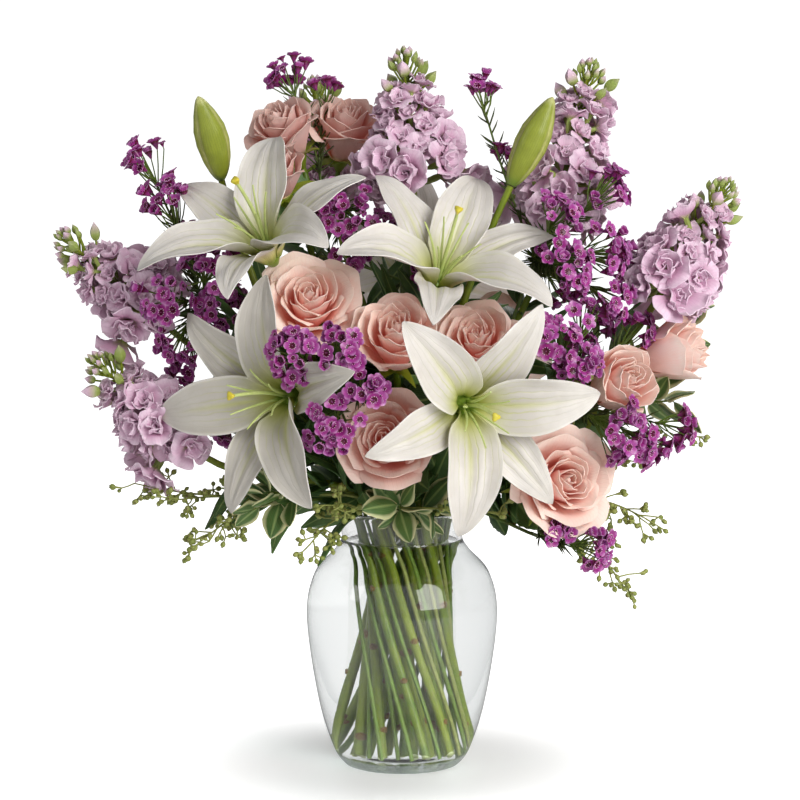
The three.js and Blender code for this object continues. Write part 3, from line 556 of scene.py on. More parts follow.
ends = {}  # where a stem comes to under each head, and the way it points there
for number, (name, place, way, angles, grey) in enumerate(LILIES):
    draw = random.Random(40 + number)
    frame_of_bloom = facing(place, way)
    tepals = Blades()
    for i, angle in enumerate(angles):
        grid = tepal(angle, i % 2 == 0, draw)
        thick = 1.1 - 0.5 * np.abs(np.linspace(-1, 1, grid.shape[1]))[None, :, None] ** 2
        tepals.add(grid, thick, frame_of_bloom, grey=grey)
    bloom = tepals.object("bloom_" + name, lily_white)
    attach(bloom, "root")
    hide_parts(name)

    middle = Blades()
    t = np.linspace(0, 1, 9)
    for i in range(6):
        a = math.radians(60 * i + 30) + draw.uniform(-0.12, 0.12)
        reach = 2.8 + 15 * t**1.5 + draw.uniform(-1, 3) * t**2
        rise = 5 + (0.7 * PISTIL + draw.uniform(-4, 3)) * t - 4 * t**3
        middle.rod(wheel(reach, a, rise), 1.15 - 0.6 * t, 6, frame_of_bloom, root=lambda far: far < 0.2)
    t = np.linspace(0, 1, 12)
    bow = 3.4 * t + 2.2 * np.sin(math.pi * t)
    style = np.stack([1.4 * np.sin(3 * t), bow, 4 + (PISTIL - 6) * t], axis=-1)
    middle.rod(style, 1.5 - 0.35 * t, 8, frame_of_bloom, root=lambda far: np.clip(0.5 - far, 0, 1))
    crown = [style[-1] + (0, 0, 5.5 * t - 2) for t in (0, 0.15, 0.4, 0.62, 0.82, 0.95, 1)]
    swell = np.array([1.2, 1.7, 2.6, 3.4, 3.5, 2.6, 1.2])
    lobes = 0.8 + 0.2 * np.cos(3 * 2 * math.pi * np.arange(12) / 12)
    middle.rod(crown, swell[:, None] * lobes, 12, frame_of_bloom, tip=1.0)
    knob = upright(np.linspace(-7, 8, 6))
    middle.rod(knob, [3.6, 5.2, 7.4, 7.6, 4.6, 1.6], 12, frame_of_bloom, root=1.0)
    pistil = middle.object("pistil_" + name, pistil_green)
    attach(pistil, "root")
    ends[name] = (Vector(place) - 6.5 * Vector(way).normalized(), Vector(way).normalized())

# ---- the lily buds ------------------------------------------------------------------------------
# Two closed buds, lime green: three broad tepals folded edge to edge round three narrow ones, so
# that the bud has three rounded ribs with a paler seam between them.

LILY_BUDS = [  # name, back of the bud, way it points
    ("lily_bud_left", (-124, -34, 414), (-0.2, -0.5, 0.85)),
    ("lily_bud_right", (74, -48, 410), (0.42, -0.1, 0.9)),
]
BUD_LENGTH = 66
BUD_RADIUS = 11.5
BUD_SIDES = 48
BUD_SWELL = [  # how far along, and the share of the radius there
    (0, 0.04, 0.12, 0.25, 0.45, 0.62, 0.8, 0.92, 0.98, 1),
    (0.26, 0.42, 0.62, 0.84, 1, 0.95, 0.66, 0.38, 0.2, 0.06),
]

bud_green, tree, shader = finish_of("bud_green", 0.36)
vein = veined(tree, 42.0, 0.8)
patch = mottled(tree, 130.0)
colour = painted(
    0x949E34,
    (mark(tree, "seam"), 0xC6C67C),
    (vein["Vein"] * 0.45, 0x68761E),
    (patch["Mask"] * 0.4, 0x7A862A),
    (vein["Along"].ramp(0.14, 0.0), 0x6F8A2E),
    (vein["Along"].ramp(0.9, 1.0), 0xCFD08A),
)
cover(shader, colour, patch["Fine"] * 0.3 - vein["Vein"], 0.00025, 0.6)

t = np.linspace(0, 1, 30)
round_it = 2 * math.pi * np.arange(BUD_SIDES) / BUD_SIDES
groove = np.maximum(0, np.cos(3 * round_it)) ** 6
rib = 0.35 * np.maximum(0, np.cos(3 * round_it + math.pi)) ** 14
depth = 1 - (0.13 * groove + 0.05 * rib) * np.sin(math.pi * np.minimum(1, 0.12 + t[:, None])) ** 0.5
bud_line = np.stack([1.6 * np.sin(math.pi * t), 0 * t, BUD_LENGTH * t], axis=-1)
for name, place, way in LILY_BUDS:
    way = Vector(way).normalized()
    closed = Blades()
    seam = np.append(np.tile(groove, len(t)), (0, 0))
    swell = BUD_RADIUS * np.interp(t, *BUD_SWELL)
    seat = facing(Vector(place) + 0.6 * way, way)
    closed.rod(bud_line, swell[:, None] * depth, BUD_SIDES, seat, seam=seam)
    bud = closed.object("closed_" + name, bud_green)
    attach(bud, "root")
    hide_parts(name)
    ends[name] = (Vector(place), way)

# ---- the roses ----------------------------------------------------------------------------------
# Twelve spray roses in peach pink with a coral heart, two of them at the back. Each is a tight bud
# in whorls of petals that lap like tiles, stand lower and turn their lips further back outwards.

ROSES = [  # name, middle of the face, way it faces, across, tall, openness, painted shade, roll
    ("rose_top_left", (-91, -4, 462), (-0.4, -0.5, 0.77), 54, 42, 0.8, 0.8, 10),
    ("rose_top_right", (-40, 28, 466), (0.1, -0.5, 0.86), 58, 44, 0.7, 0.6, 50),
    ("rose_top_front", (-90, -46, 430), (-0.2, -0.6, 0.75), 44, 34, 0.4, 0.75, 100),
    ("rose_middle_left", (-62, -98, 344), (0.05, -0.8, 0.6), 75, 48, 1.0, 0.0, 30),
    ("rose_middle", (-5, -118, 324), (-0.02, -0.8, 0.6), 60, 54, 0.45, 0.0, 80),
    ("rose_middle_right", (49, -90, 316), (-0.05, -0.8, 0.6), 62, 46, 0.7, 0.05, 150),
    ("rose_low_middle", (-12, -118, 247), (-0.1, -0.94, 0.32), 70, 48, 0.7, 0.35, 210),
    ("rose_low_right", (116, -104, 216), (0.42, -0.88, 0.2), 78, 50, 0.8, 0.1, 20),
    ("rose_right", (158, -80, 284), (0.5, -0.78, 0.36), 50, 48, 0.1, 0.0, 260),
    ("rose_far_right", (205, -44, 302), (0.88, -0.36, 0.3), 50, 48, 0.0, 0.0, 120),
    ("rose_back_left", (-72, 96, 318), (-0.4, 0.85, 0.35), 76, 48, 0.9, 0.2, 0),
    ("rose_back_right", (84, 92, 300), (0.45, 0.82, 0.35), 74, 48, 0.7, 0.1, 70),
]
WHORLS = [  # petals, reach as a share of half across, height as a share of tall, lap, half spread
    (3, 0.12, 0.95, 0.8, 105),
    (3, 0.2, 0.97, 1.1, 92),
    (3, 0.29, 0.97, 1.6, 84),
    (4, 0.4, 0.95, 2.0, 66),
    (4, 0.56, 0.91, 2.6, 64),
    (4, 0.77, 0.85, 2.6, 62),
    (5, 1.0, 0.74, 2.2, 52),
]


def rose_petal(angle, spread, reach, height, lap, roll, flare, heart, draw):
    v, side = sheet(13, 15)
    phase, wave = draw.uniform(0, 6.28), draw.uniform(0.5, 1.2)
    root = 6.4 * (1 - 0.75 * heart)
    lip = np.clip((v - 0.68) / 0.32, 0, 1)
    width = (0.42 + 0.58 * v) * (1 - 0.3 * lip**3)
    bowl, cone = np.sin(math.pi / 2 * v**0.7), v**1.15
    out = root + (reach - root) * (bowl + (cone - bowl) * flare) + lap * side * (0.3 + 0.7 * v)
    inwards = (2.0 * heart + 0.4) * lip * (1 - side**2) * heart
    out = out + roll * lip**2 * (1 - 0.35 * np.abs(side)) - inwards
    out = out + wave * 0.7 * np.sin(2.2 * math.pi * side + phase) * v**3 * (1 - 0.5 * heart)
    rise = height * (1.06 * v - 0.06 * v**3) - 0.17 * height * v**2 * side**2 * (1 - 0.35 * heart)
    rise = rise - roll * 0.55 * lip**3 + 0.035 * height * np.exp(-((side / 0.16) ** 2)) * lip**2
    rise = rise + wave * 0.8 * np.sin(3.1 * side + phase) * v**4 * (1 - 0.6 * heart)
    return wheel(out, angle + side * math.radians(spread) * width, 1.2 + rise)


rose_pink, tree, shader = finish_of(
    "rose_pink", 0.5,
    Subsurface_Weight=0.14, Subsurface_Scale=0.0015, Subsurface_Radius=(1.0, 0.55, 0.45),
)
vein = veined(tree, 17.0, 1.4)
patch = mottled(tree, 95.0)
along = vein["Along"]
heart = mark(tree, "heart")
colour = painted(
    0xFFE7E0,
    (along.ramp(0.9, 0.3), 0xFFCEC6),
    (heart * along.ramp(1.1, 0.3), 0xFFA294),
    # a deeper coral low in the heart's petals: partly the heart's own colour, partly painted shade in the
    # crevices between them
    (heart * along.ramp(0.9, 0.5, 0, 0.75), 0xF0705A),
    (along.ramp(0.78, 1.0, 0, 0.5), 0xFFEFE2),
    (patch["Mask"] * 0.22, 0xF7C2B4),
    (vein["Vein"] * 0.1, 0xEBA99B),
    (mark(tree, "back") * 0.3, 0xFCE3D0),
    # painted shade: the top and back roses, out of the key light, are painted duskier
    (mark(tree, "dusk") * 0.65, 0xBC8E88),
    (along.ramp(0.16, 0.0, 0, 0.6), 0xD9D59A),
)
cover(shader, colour, patch["Fine"] * 0.35 - vein["Vein"], 0.0002, 0.4)
# painted glow: the petals give off a faint warm light of their own, which stands in for the light that
# comes through the thin petals
values = {0: 1.0, 6: colour, 7: paint(0xF29C8C)}
rose_painted_glow = node(tree, "ShaderNodeMix", values, data_type="RGBA", blend_type="MULTIPLY")
fill(shader, {"Emission Color": rose_painted_glow[2], "Emission Strength": 0.035})

for number, (name, middle, way, across, tall, openness, dusk, roll) in enumerate(ROSES):
    draw = random.Random(90 + number)
    way = Vector(way).normalized()
    back = Vector(middle) - tall * way
    place = facing(back, way, math.radians(roll))
    petals = Blades()
    for k, (count, reach, high, lap, spread) in enumerate(WHORLS):
        outer = k / (len(WHORLS) - 1)
        heart = 1 - outer
        for i in range(count):
            angle = 2 * math.pi * (i + 0.5 * k + 0.13 * draw.uniform(-1, 1)) / count + 0.4 * k
            far = across / 2 * (reach + 0.05 * (1 - openness) * outer * -2) * draw.uniform(0.96, 1.02)
            up = tall * (high + (1 - openness) * 0.16 * outer) * draw.uniform(0.97, 1.02) - 1.5
            turn = (0.5 + 4.6 * openness) * outer**1.4 * draw.uniform(0.6, 1.2)
            flare = (0.25 + 0.7 * openness) * outer**1.2
            grid = rose_petal(angle, spread, far - 0.5 * turn, up, lap, turn, flare, heart, draw)
            petals.add(grid, 0.45, place, heart=heart, dusk=dusk * draw.uniform(0.8, 1.1))
    core = upright(1 + 0.8 * tall * np.linspace(0, 1, 5))
    petals.rod(core, [7.5, 7.0, 5.0, 3.2, 1.2], 12, place, heart=1.0, dusk=dusk)
    rose = petals.object("bloom_" + name, rose_pink)
    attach(rose, "root")
    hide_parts(name)
    ends[name] = (back - 9 * way, way)

# ---- the stock ----------------------------------------------------------------------------------
# Six heads of double stock: a dense spike of ruffled lavender florets that open from the bottom
# up, each in a small green cup on a short stalk, with tight green buds at the tip.

STOCKS = [  # name, foot of the head, its top, florets, reach at the foot and at the tip
    ("stock_top", (8, 0, 408), (3, 8, 484), 36, 35, 9),
    ("stock_top_right", (106, -5, 384), (128, 5, 476), 44, 38, 10),
    ("stock_right", (176, -24, 330), (216, -20, 396), 34, 31, 11),
    ("stock_left", (-170, -22, 318), (-222, -28, 364), 32, 30, 10),
    ("stock_low_left", (-146, -44, 232), (-198, -54, 280), 32, 30, 10),
    ("stock_back", (-50, 92, 396), (-62, 104, 466), 34, 31, 9),
]
FLORET_RADIUS = 19.5
FLORET_ROUNDS = (  # petals, length, half width, rows, columns, least and greatest rise in degrees
    (4, 1.0, 0.6, 7, 9, -4, 30),
    (4, 0.72, 0.46, 6, 7, 28, 62),
    (4, 0.4, 0.24, 4, 5, 55, 80),
)
GOLDEN_TURN = 2.39996

stock_lavender, tree, shader = finish_of(
    "stock_lavender", 0.55,
    Subsurface_Weight=0.12, Subsurface_Scale=0.0015, Subsurface_Radius=(1.0, 0.7, 0.9),
)
vein = veined(tree, 9.0, 1.6)
patch = mottled(tree, 150.0)
colour = painted(
    0xE8C6D9,
    (mark(tree, "shade"), 0xD2A4BF),
    (vein["Along"].ramp(0.4, 1.0), 0xEFD6E6),
    (patch["Mask"] * 0.3, 0xCB9CBB),
    (vein["Vein"] * 0.2, 0xC08FB8),
    (vein["Along"].ramp(0.45, 0.05, 0, 0.9), 0x9FA35A),
    (mark(tree, "green"), 0x94A552),
)
cover(shader, colour, patch["Fine"] * 0.3 - vein["Vein"], 0.00015, 0.5)


def spun(x, y, z, angle):  # a grid of points turned about the axis
    c, s = math.cos(angle), math.sin(angle)
    return np.stack([x * c - y * s, x * s + y * c, z + 0 * y], axis=-1)


# One floret, 1 unit in radius: ruffled petals in three rounds, the outer ones spread wide, the
# inner ones small and crumpled, and the green cup behind them.
def floret(name, draw):
    made = Blades()
    for ring, (count, long, wide, rows, columns, low, high) in enumerate(FLORET_ROUNDS):
        v, side = sheet(rows, columns)
        for i in range(count):
            size = draw.uniform(0.8, 1.08)
            tilt = math.radians(draw.uniform(low, high)) + math.radians(38) * (1 - v) ** 1.5
            half = wide * size * (0.14 + 0.9 * np.sin(math.pi / 2 * np.clip(v * 1.2, 0, 1)) ** 1.4)
            half = half * np.where(v > 0.9, 0.8, 1)
            phase, second = draw.uniform(0, 6.28), draw.uniform(0, 6.28)
            ruffle = 0.08 * np.sin(5.2 * side + phase) * v**2 + 0.03 * np.sin(9.5 * side + second) * v**4
            ruffle = ruffle + draw.uniform(-0.05, 0.3) * side**2 * v + 0.06 * np.sin(8 * v + second) * v
            step = long * size / (rows - 1)
            far = run(np.cos(tilt[1:])) * step * (1 - 0.14 * side**2 * v)
            up = run(np.sin(tilt[1:])) * step
            a = 2 * math.pi * (i + draw.uniform(-0.16, 0.16) + 0.5 * (ring % 2)) / count
            out = 0.04 + far - ruffle * np.sin(tilt)
            made.add(spun(out, side * half, up + ruffle * np.cos(tilt) - 0.3, a), 0.035, inner=ring / 2)
    made.rod(upright(-1.1 + 0.95 * np.linspace(0, 1, 4)), [0.06, 0.13, 0.15, 0.12], 6, green=1.0)
    return made.object(name, scale=1.0)


def kinds_of(name, made):  # pieces put aside, for a node tree to pick from
    kinds = bpy.data.collections.new(name)
    for one in made:
        scene.collection.objects.unlink(one)
        kinds.objects.link(one)
    return kinds


made = [floret("floret_%d" % i, random.Random(300 + i)) for i in range(6)]
floret_kinds = kinds_of("floret_kinds", made)


# Stands one of the kinds on each point, turned its way, with a spin and a shade of its own.
def standing(tree, given, points, way, size, finish, chosen=True):
    lot = {"ID": node(tree, "GeometryNodeInputIndex")[0], "Seed": given["Seed"]}
    spin = node(tree, "FunctionNodeRandomValue", {2: 0.0, 3: 6.28, **lot})[1]
    spin = node(tree, "FunctionNodeAxisAngleToRotation", {"Axis": (0, 0, 1), "Angle": spin})[0]
    aimed = node(tree, "FunctionNodeAlignRotationToVector", {"Vector": way}, axis="Z")[0]
    aimed = node(tree, "FunctionNodeRotateRotation", {0: aimed, 1: spin}, rotation_space="LOCAL")[0]
    values = {"Collection": given["Kinds"], "Separate Children": True, "Reset Children": True}
    kinds = node(tree, "GeometryNodeCollectionInfo", values)[0]
    values = {"Points": points, "Selection": chosen, "Instance": kinds, "Pick Instance": True}
    placed = node(tree, "GeometryNodeInstanceOnPoints", {**values, "Rotation": aimed, "Scale": size})[0]
    hue = node(tree, "FunctionNodeRandomValue", {2: 0.0, 3: 1.0, **lot})[1]
    values = {0: placed, "Name": "shade", "Value": hue}
    shaded = node(tree, "GeometryNodeStoreNamedAttribute", values, domain="INSTANCE")[0]
    real = node(tree, "GeometryNodeRealizeInstances", {0: shaded})[0]
    return node(tree, "GeometryNodeSetMaterial", {0: real, "Material": finish})[0]


# The head: points on a spiral round the spike, and on each a floret that faces outwards, and
# further up the nearer it is to the tip.
spike, given, result = group_of(
    "stock_spike",
    "GeometryNodeTree",
    {
        "Geometry": "Geometry", "Florets": "Int", "Length": "Float",
        "Foot Reach": "Float", "Tip Reach": "Float", "Floret Radius": "Float", "Tip Share": "Float",
        "Seed": "Int", "Kinds": "Collection", "Finish": "Material",
    },
    {"Geometry": "Geometry"},
)
order = node(spike, "GeometryNodeInputIndex")[0]
lot = {"ID": order, "Seed": given["Seed"]}
t = (order + 0.5).maths("DIVIDE", given["Florets"])
around = order * GOLDEN_TURN
cosine, sine = around.maths("COSINE"), around.maths("SINE")
uneven = node(spike, "FunctionNodeRandomValue", {2: 0.7, 3: 1.12, **lot})[1]
values = {0: t.maths("POWER", 1.35), 2: given["Foot Reach"], 3: given["Tip Reach"]}
reach = node(spike, "ShaderNodeMix", values)[0] * uneven
where = {0: reach * cosine, 1: reach * sine, 2: (t * 0.96 + 0.01) * given["Length"]}
where = node(spike, "ShaderNodeCombineXYZ", where)[0]
points = node(spike, "GeometryNodePoints", {"Count": given["Florets"], "Position": where})[0]
tilt = t.ramp(0.0, 1.0, -0.35, 1.35, "LINEAR")
flatness = tilt.maths("COSINE")
values = {0: flatness * cosine, 1: flatness * sine, 2: tilt.maths("SINE")}
outwards = node(spike, "ShaderNodeCombineXYZ", values)[0]
values = {0: (-0.5, -0.5, -0.35), 1: (0.5, 0.5, 0.5), **lot}
stray = node(spike, "FunctionNodeRandomValue", values, data_type="FLOAT_VECTOR")[0]
strayed = node(spike, "ShaderNodeVectorMath", {0: outwards, 1: stray}, operation="ADD")[0]
smaller = node(spike, "ShaderNodeMath", {0: 1.0, 1: t * given["Tip Share"]}, operation="SUBTRACT")[0]
size = given["Floret Radius"] * smaller * uneven
fill(result, {0: standing(spike, given, points, strayed, size, given["Finish"])})


# Gives an object what a node tree makes, as its plain mesh.
def grown(made, tree, settings):
    modifier = made.modifiers.new("growth", "NODES")
    modifier.node_group = tree
    for socket in tree.interface.items_tree:
        if socket.in_out == "INPUT" and socket.name in settings:
            modifier[socket.identifier] = settings[socket.name]
    bpy.context.view_layer.update()
    evaluated = made.evaluated_get(bpy.context.evaluated_depsgraph_get())
    mesh = bpy.data.meshes.new_from_object(evaluated)
    made.modifiers.clear()
    made.data = mesh
    mesh.name = made.name
    return made


for number, (name, foot, top, florets, foot_reach, tip_reach) in enumerate(STOCKS):
    foot, top = Vector(foot), Vector(top)
    way = (top - foot).normalized()
    settings = {
        "Florets": florets, "Length": (top - foot).length * MM, "Foot Reach": foot_reach * MM,
        "Tip Reach": tip_reach * MM, "Floret Radius": FLORET_RADIUS * MM, "Tip Share": 0.42,
        "Seed": number + 5, "Kinds": floret_kinds, "Finish": stock_lavender,
    }
    head = grown(meshed("head_" + name, [], [], []), spike, settings)
    head.data.transform(facing(foot * MM, way))
    head.data.update()
    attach(head, "root")
    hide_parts(name)
    ends[name] = (foot - 4 * way, way)

# ---- the stems ----------------------------------------------------------------------------------
# The eighteen flower stems of a hand-tied spiral of thirty-three. Each runs straight from its
# slanting cut end in the water up through the neck, then bends to its head; some fork. They carry
# scars where leaves were stripped, and above the neck the leaves of their own plant.

RINGS = {"outer": (32, 38, 24), "middle": (20, 25, 16), "inner": (8, 11, 6)}  # neck, foot, places
STEM_TWIST = math.radians(85)
STEM_CUT_Z, STEM_TOP_Z = 11, 172
STEM_RADII = {"lily": 3.8, "rose": 2.8, "stock": 2.6}
STEM_SIDES = 14
SCARS = 5
STEMS = [  # name, ring and place, heads, and for one that forks its fork and its way there
    ("stem_lily_left", "middle", 10, "lily_upper_left lily_lower_left lily_bud_left",
     (-86, -24, 296), (-0.3, -0.2, 0.93)),
    ("stem_lily_right", "middle", 15, "lily_upper_right lily_lower_right lily_bud_right",
     (26, -40, 276), (0.1, -0.25, 0.95)),
    ("stem_lily_back", "middle", 5, "lily_back"),
    ("stem_rose_top", "middle", 9, "rose_top_left rose_top_right rose_top_front",
     (-66, -2, 372), (-0.25, -0.1, 0.9)),
    ("stem_rose_middle_left", "middle", 12, "rose_middle_left"),
    ("stem_rose_middle", "middle", 13, "rose_middle"),
    ("stem_rose_middle_right", "middle", 1, "rose_middle_right"),
    ("stem_rose_low_middle", "outer", 20, "rose_low_middle"),
    ("stem_rose_low_right", "outer", 0, "rose_low_right"),
    ("stem_rose_right", "outer", 2, "rose_right rose_far_right", (112, -34, 248), (0.8, -0.2, 0.5)),
    ("stem_rose_back_left", "middle", 7, "rose_back_left"),
    ("stem_rose_back_right", "middle", 3, "rose_back_right"),
    ("stem_stock_top", "inner", 0, "stock_top"),
    ("stem_stock_top_right", "middle", 2, "stock_top_right"),
    ("stem_stock_right", "outer", 4, "stock_right"),
    ("stem_stock_left", "outer", 14, "stock_left"),
    ("stem_stock_low_left", "outer", 16, "stock_low_left"),
    ("stem_stock_back", "outer", 6, "stock_back"),
]
LEAVES = {  # half width, fold, bow of the first and of each next, teeth, rows, length, and how many
    "lily": (0.1, 0.5, 0.2, 0.2, 0, 11, 62, 34),
    "rose": (0.3, 0.3, 0.1, 0.12, 0.1, 17, 40, 25),
    "stock": (0.13, 0.3, 0.15, 0.2, 0, 11, 52, 25),
}


# The two ends of the straight part of a stem: its cut end, and where it leaves the neck.
def straight_part(ring, place):
    neck, foot, places = RINGS[ring]
    angle = place / places * 2 * math.pi
    low = angle + STEM_TWIST
    start = Vector((foot * math.cos(low), foot * math.sin(low), STEM_CUT_Z))
    return start, Vector((neck * math.cos(angle), neck * math.sin(angle), STEM_TOP_Z))


# A bend that leaves one place in one direction and comes to another place in another.
def bend(start, leaving, end, coming, steps):
    pull = (end - start).length * 0.4
    a = start + Vector(leaving).normalized() * pull
    b = end - Vector(coming).normalized() * pull
    made = []
    for t in [k / steps for k in range(1, steps + 1)]:
        made.append((1 - t) ** 3 * start + 3 * (1 - t) ** 2 * t * a + 3 * (1 - t) * t**2 * b + t**3 * end)
    return made


# A stem's way through the neck to the end of its first bend, as a line of points.
def through_neck(low, high, end, end_way, straight_steps, steps):
    rise = high - low
    straight = [low + rise * (k / straight_steps) for k in range(1, straight_steps + 1)]
    return [low, low + rise.normalized() * 1.2] + straight + bend(high, rise, Vector(end), end_way, steps)


# What a stem or spray grows from: lines with a thickness, and places where a piece stands.
class Skeleton:
    def __init__(self):
        self.points, self.edges, self.marks, self.ways = [], [], [], []

    def point(self, place, thick=0.0, shade=0.5, cut=0.0, scar=0.0, size=0.0, way=(0, 0, 1)):
        self.points.append(tuple(c * MM for c in place))
        self.marks.append((thick * MM, shade, cut, scar, size * MM))
        self.ways.append(tuple(Vector(way).normalized()))

    def line(self, places, radii, shade=0.5, cut=False, scar=0.0):
        radii, shades = np.broadcast_to(radii, len(places)), np.broadcast_to(shade, len(places))
        for i, (place, radius, shade) in enumerate(zip(places, radii, shades)):
            if i > 0:
                self.edges.append((len(self.points) - 1, len(self.points)))
            self.point(place, float(radius), float(shade), float(cut and i == 0), scar)

    def piece(self, place, way, size):
        self.point(place, size=size, way=way)

    def object(self, name):
        made = meshed(name, self.points, self.edges, [])
        for key, values in zip(("thick", "shade", "cut", "scar", "size"), zip(*self.marks)):
            made.data.attributes.new(key, "FLOAT", "POINT").data.foreach_set("value", values)
        ways = made.data.attributes.new("way", "FLOAT_VECTOR", "POINT")
        ways.data.foreach_set("vector", np.ravel(self.ways))
        return made


# The growth: round rods along a skeleton's lines, and a piece of a kind wherever one stands.
growth, given, result = group_of(
    "growth",
    "GeometryNodeTree",
    {
        "Geometry": "Geometry", "Sides": "Int", "Seed": "Int", "Kinds": "Collection",
        "Rod Finish": "Material", "Piece Finish": "Material",
    },
    {"Geometry": "Geometry"},
)


def named(name, kind="FLOAT"):
    return node(growth, "GeometryNodeInputNamedAttribute", {"Name": name}, data_type=kind)[0]


values = {"Resolution": given["Sides"], "Radius": 1.0}
section = node(growth, "GeometryNodeCurvePrimitiveCircle", values)[0]
values = {0: section, "Name": "around", "Value": node(growth, "GeometryNodeSplineParameter")["Factor"]}
section = node(growth, "GeometryNodeStoreNamedAttribute", values)[0]
lines = node(growth, "GeometryNodeMeshToCurve", {0: given["Geometry"]})[0]
values = {"Curve": lines, "Profile Curve": section, "Scale": named("thick"), "Fill Caps": True}
rods = node(growth, "GeometryNodeCurveToMesh", values)[0]
rods = node(growth, "GeometryNodeSetMaterial", {0: rods, "Material": given["Rod Finish"]})[0]
stands = node(growth, "FunctionNodeCompare", {0: named("size"), 1: 0.00001}, operation="GREATER_THAN")[0]
way = named("way", "FLOAT_VECTOR")
pieces = standing(growth, given, given["Geometry"], way, named("size"), given["Piece Finish"], stands)
both = growth.nodes.new("GeometryNodeJoinGeometry")
fill(both, {0: rods})
fill(both, {0: pieces})
fill(result, {0: Wire(both.outputs[0])})


# Grows a skeleton into a piece, its rods in one finish and what stands on it in another.
def grow(name, skeleton, sides, seed, kinds, rod_finish, piece_finish):
    settings = {"Sides": sides, "Seed": seed, "Kinds": kinds}
    settings |= {"Rod Finish": rod_finish, "Piece Finish": piece_finish}
    made = grown(skeleton.object(name), growth, settings)
    made.data.shade_smooth()
    return made


stem_green, tree, shader = finish_of("stem_green", 0.4)
patch = mottled(tree, 70.0)
values = {"W": mark(tree, "around") * 26.0, "Scale": 1.0}
streak = node(tree, "ShaderNodeTexNoise", values, noise_dimensions="1D")[0]
colour = painted(
    0x5A7A0E,
    (mark(tree, "shade"), 0x86961A),
    (streak.ramp(0.4, 0.65) * 0.45, 0x405A10),
    (patch["Mask"] * 0.35, 0x9CA52C),
    (mottled(tree, 210.0, 0.7)["Mask"].ramp(0.93, 1.0, 0, 0.45), 0x7A6A3A),
    (mark(tree, "scar") * patch["Fine"].ramp(0.3, 0.6, 0.35, 1.0), 0x7A4A20),
    (mark(tree, "cut"), 0xDDE3B4),
)
cover(shader, colour, streak + patch["Fine"] * 0.3, 0.0004, 0.5)

leaf_green, tree, shader = finish_of("leaf_green", 0.42, Subsurface_Weight=0.08, Subsurface_Scale=0.003)
vein = veined(tree, 15.0, 1.2)
patch = mottled(tree, 80.0)
colour = painted(
    0x35562A,
    (mark(tree, "shade"), 0x527437),
    (patch["Mask"] * 0.3, 0x6A8A48),
    (vein["Vein"] * 0.28, 0x7C9A58),
    (vein["Midrib"] * 0.7, 0x9DB36E),
    (mark(tree, "cream"), 0xDAD9A6),
)
cover(shader, colour, patch["Fine"] * 0.3 - vein["Vein"], 0.00025, 0.6)


# A leaf 1 unit long, on +Z from its stalk: narrow for the lily, a toothed oval for the rose.
def leaf(name, half, fold, bow, teeth, cream, draw, rows, columns):
    v, side = sheet(rows, columns)
    wide = half * (0.06 + 0.96 * np.abs(np.sin(math.pi * v**0.85)) ** 0.75)
    wide = wide * (1 + teeth * ((np.arange(rows)[:, None] % 2) - 0.5))
    waves = 0.025 * np.sin(9 * v + draw.uniform(0, 6.28)) * side**2
    y = fold * wide * side**2 + bow * v**2 + waves
    made = Blades()
    edge = np.clip((np.abs(side) - 0.62) / 0.25, 0, 1) * np.ones_like(v) * cream
    made.add(np.stack([side * wide, y, v * (1 - 0.1 * abs(bow)) + 0 * side], axis=-1), 0.02, cream=edge)
    made.rod(upright((-0.14, 0.0, 0.12)), [0.016, 0.014, 0.008], 5)
    return made.object(name, scale=1.0)


def any_way(draw):
    return Vector([draw.uniform(-1, 1) for axis in range(3)])


draw = random.Random(7)
leaf_kinds = {}
for plant, (half, fold, bow, more, teeth, rows, long, count) in LEAVES.items():
    label = plant + "_leaf_%d"
    made = [leaf(label % i, half, fold, bow + more * i, teeth, 0, draw, rows, 7) for i in range(3)]
    leaf_kinds[plant] = kinds_of(plant + "_leaves", made)

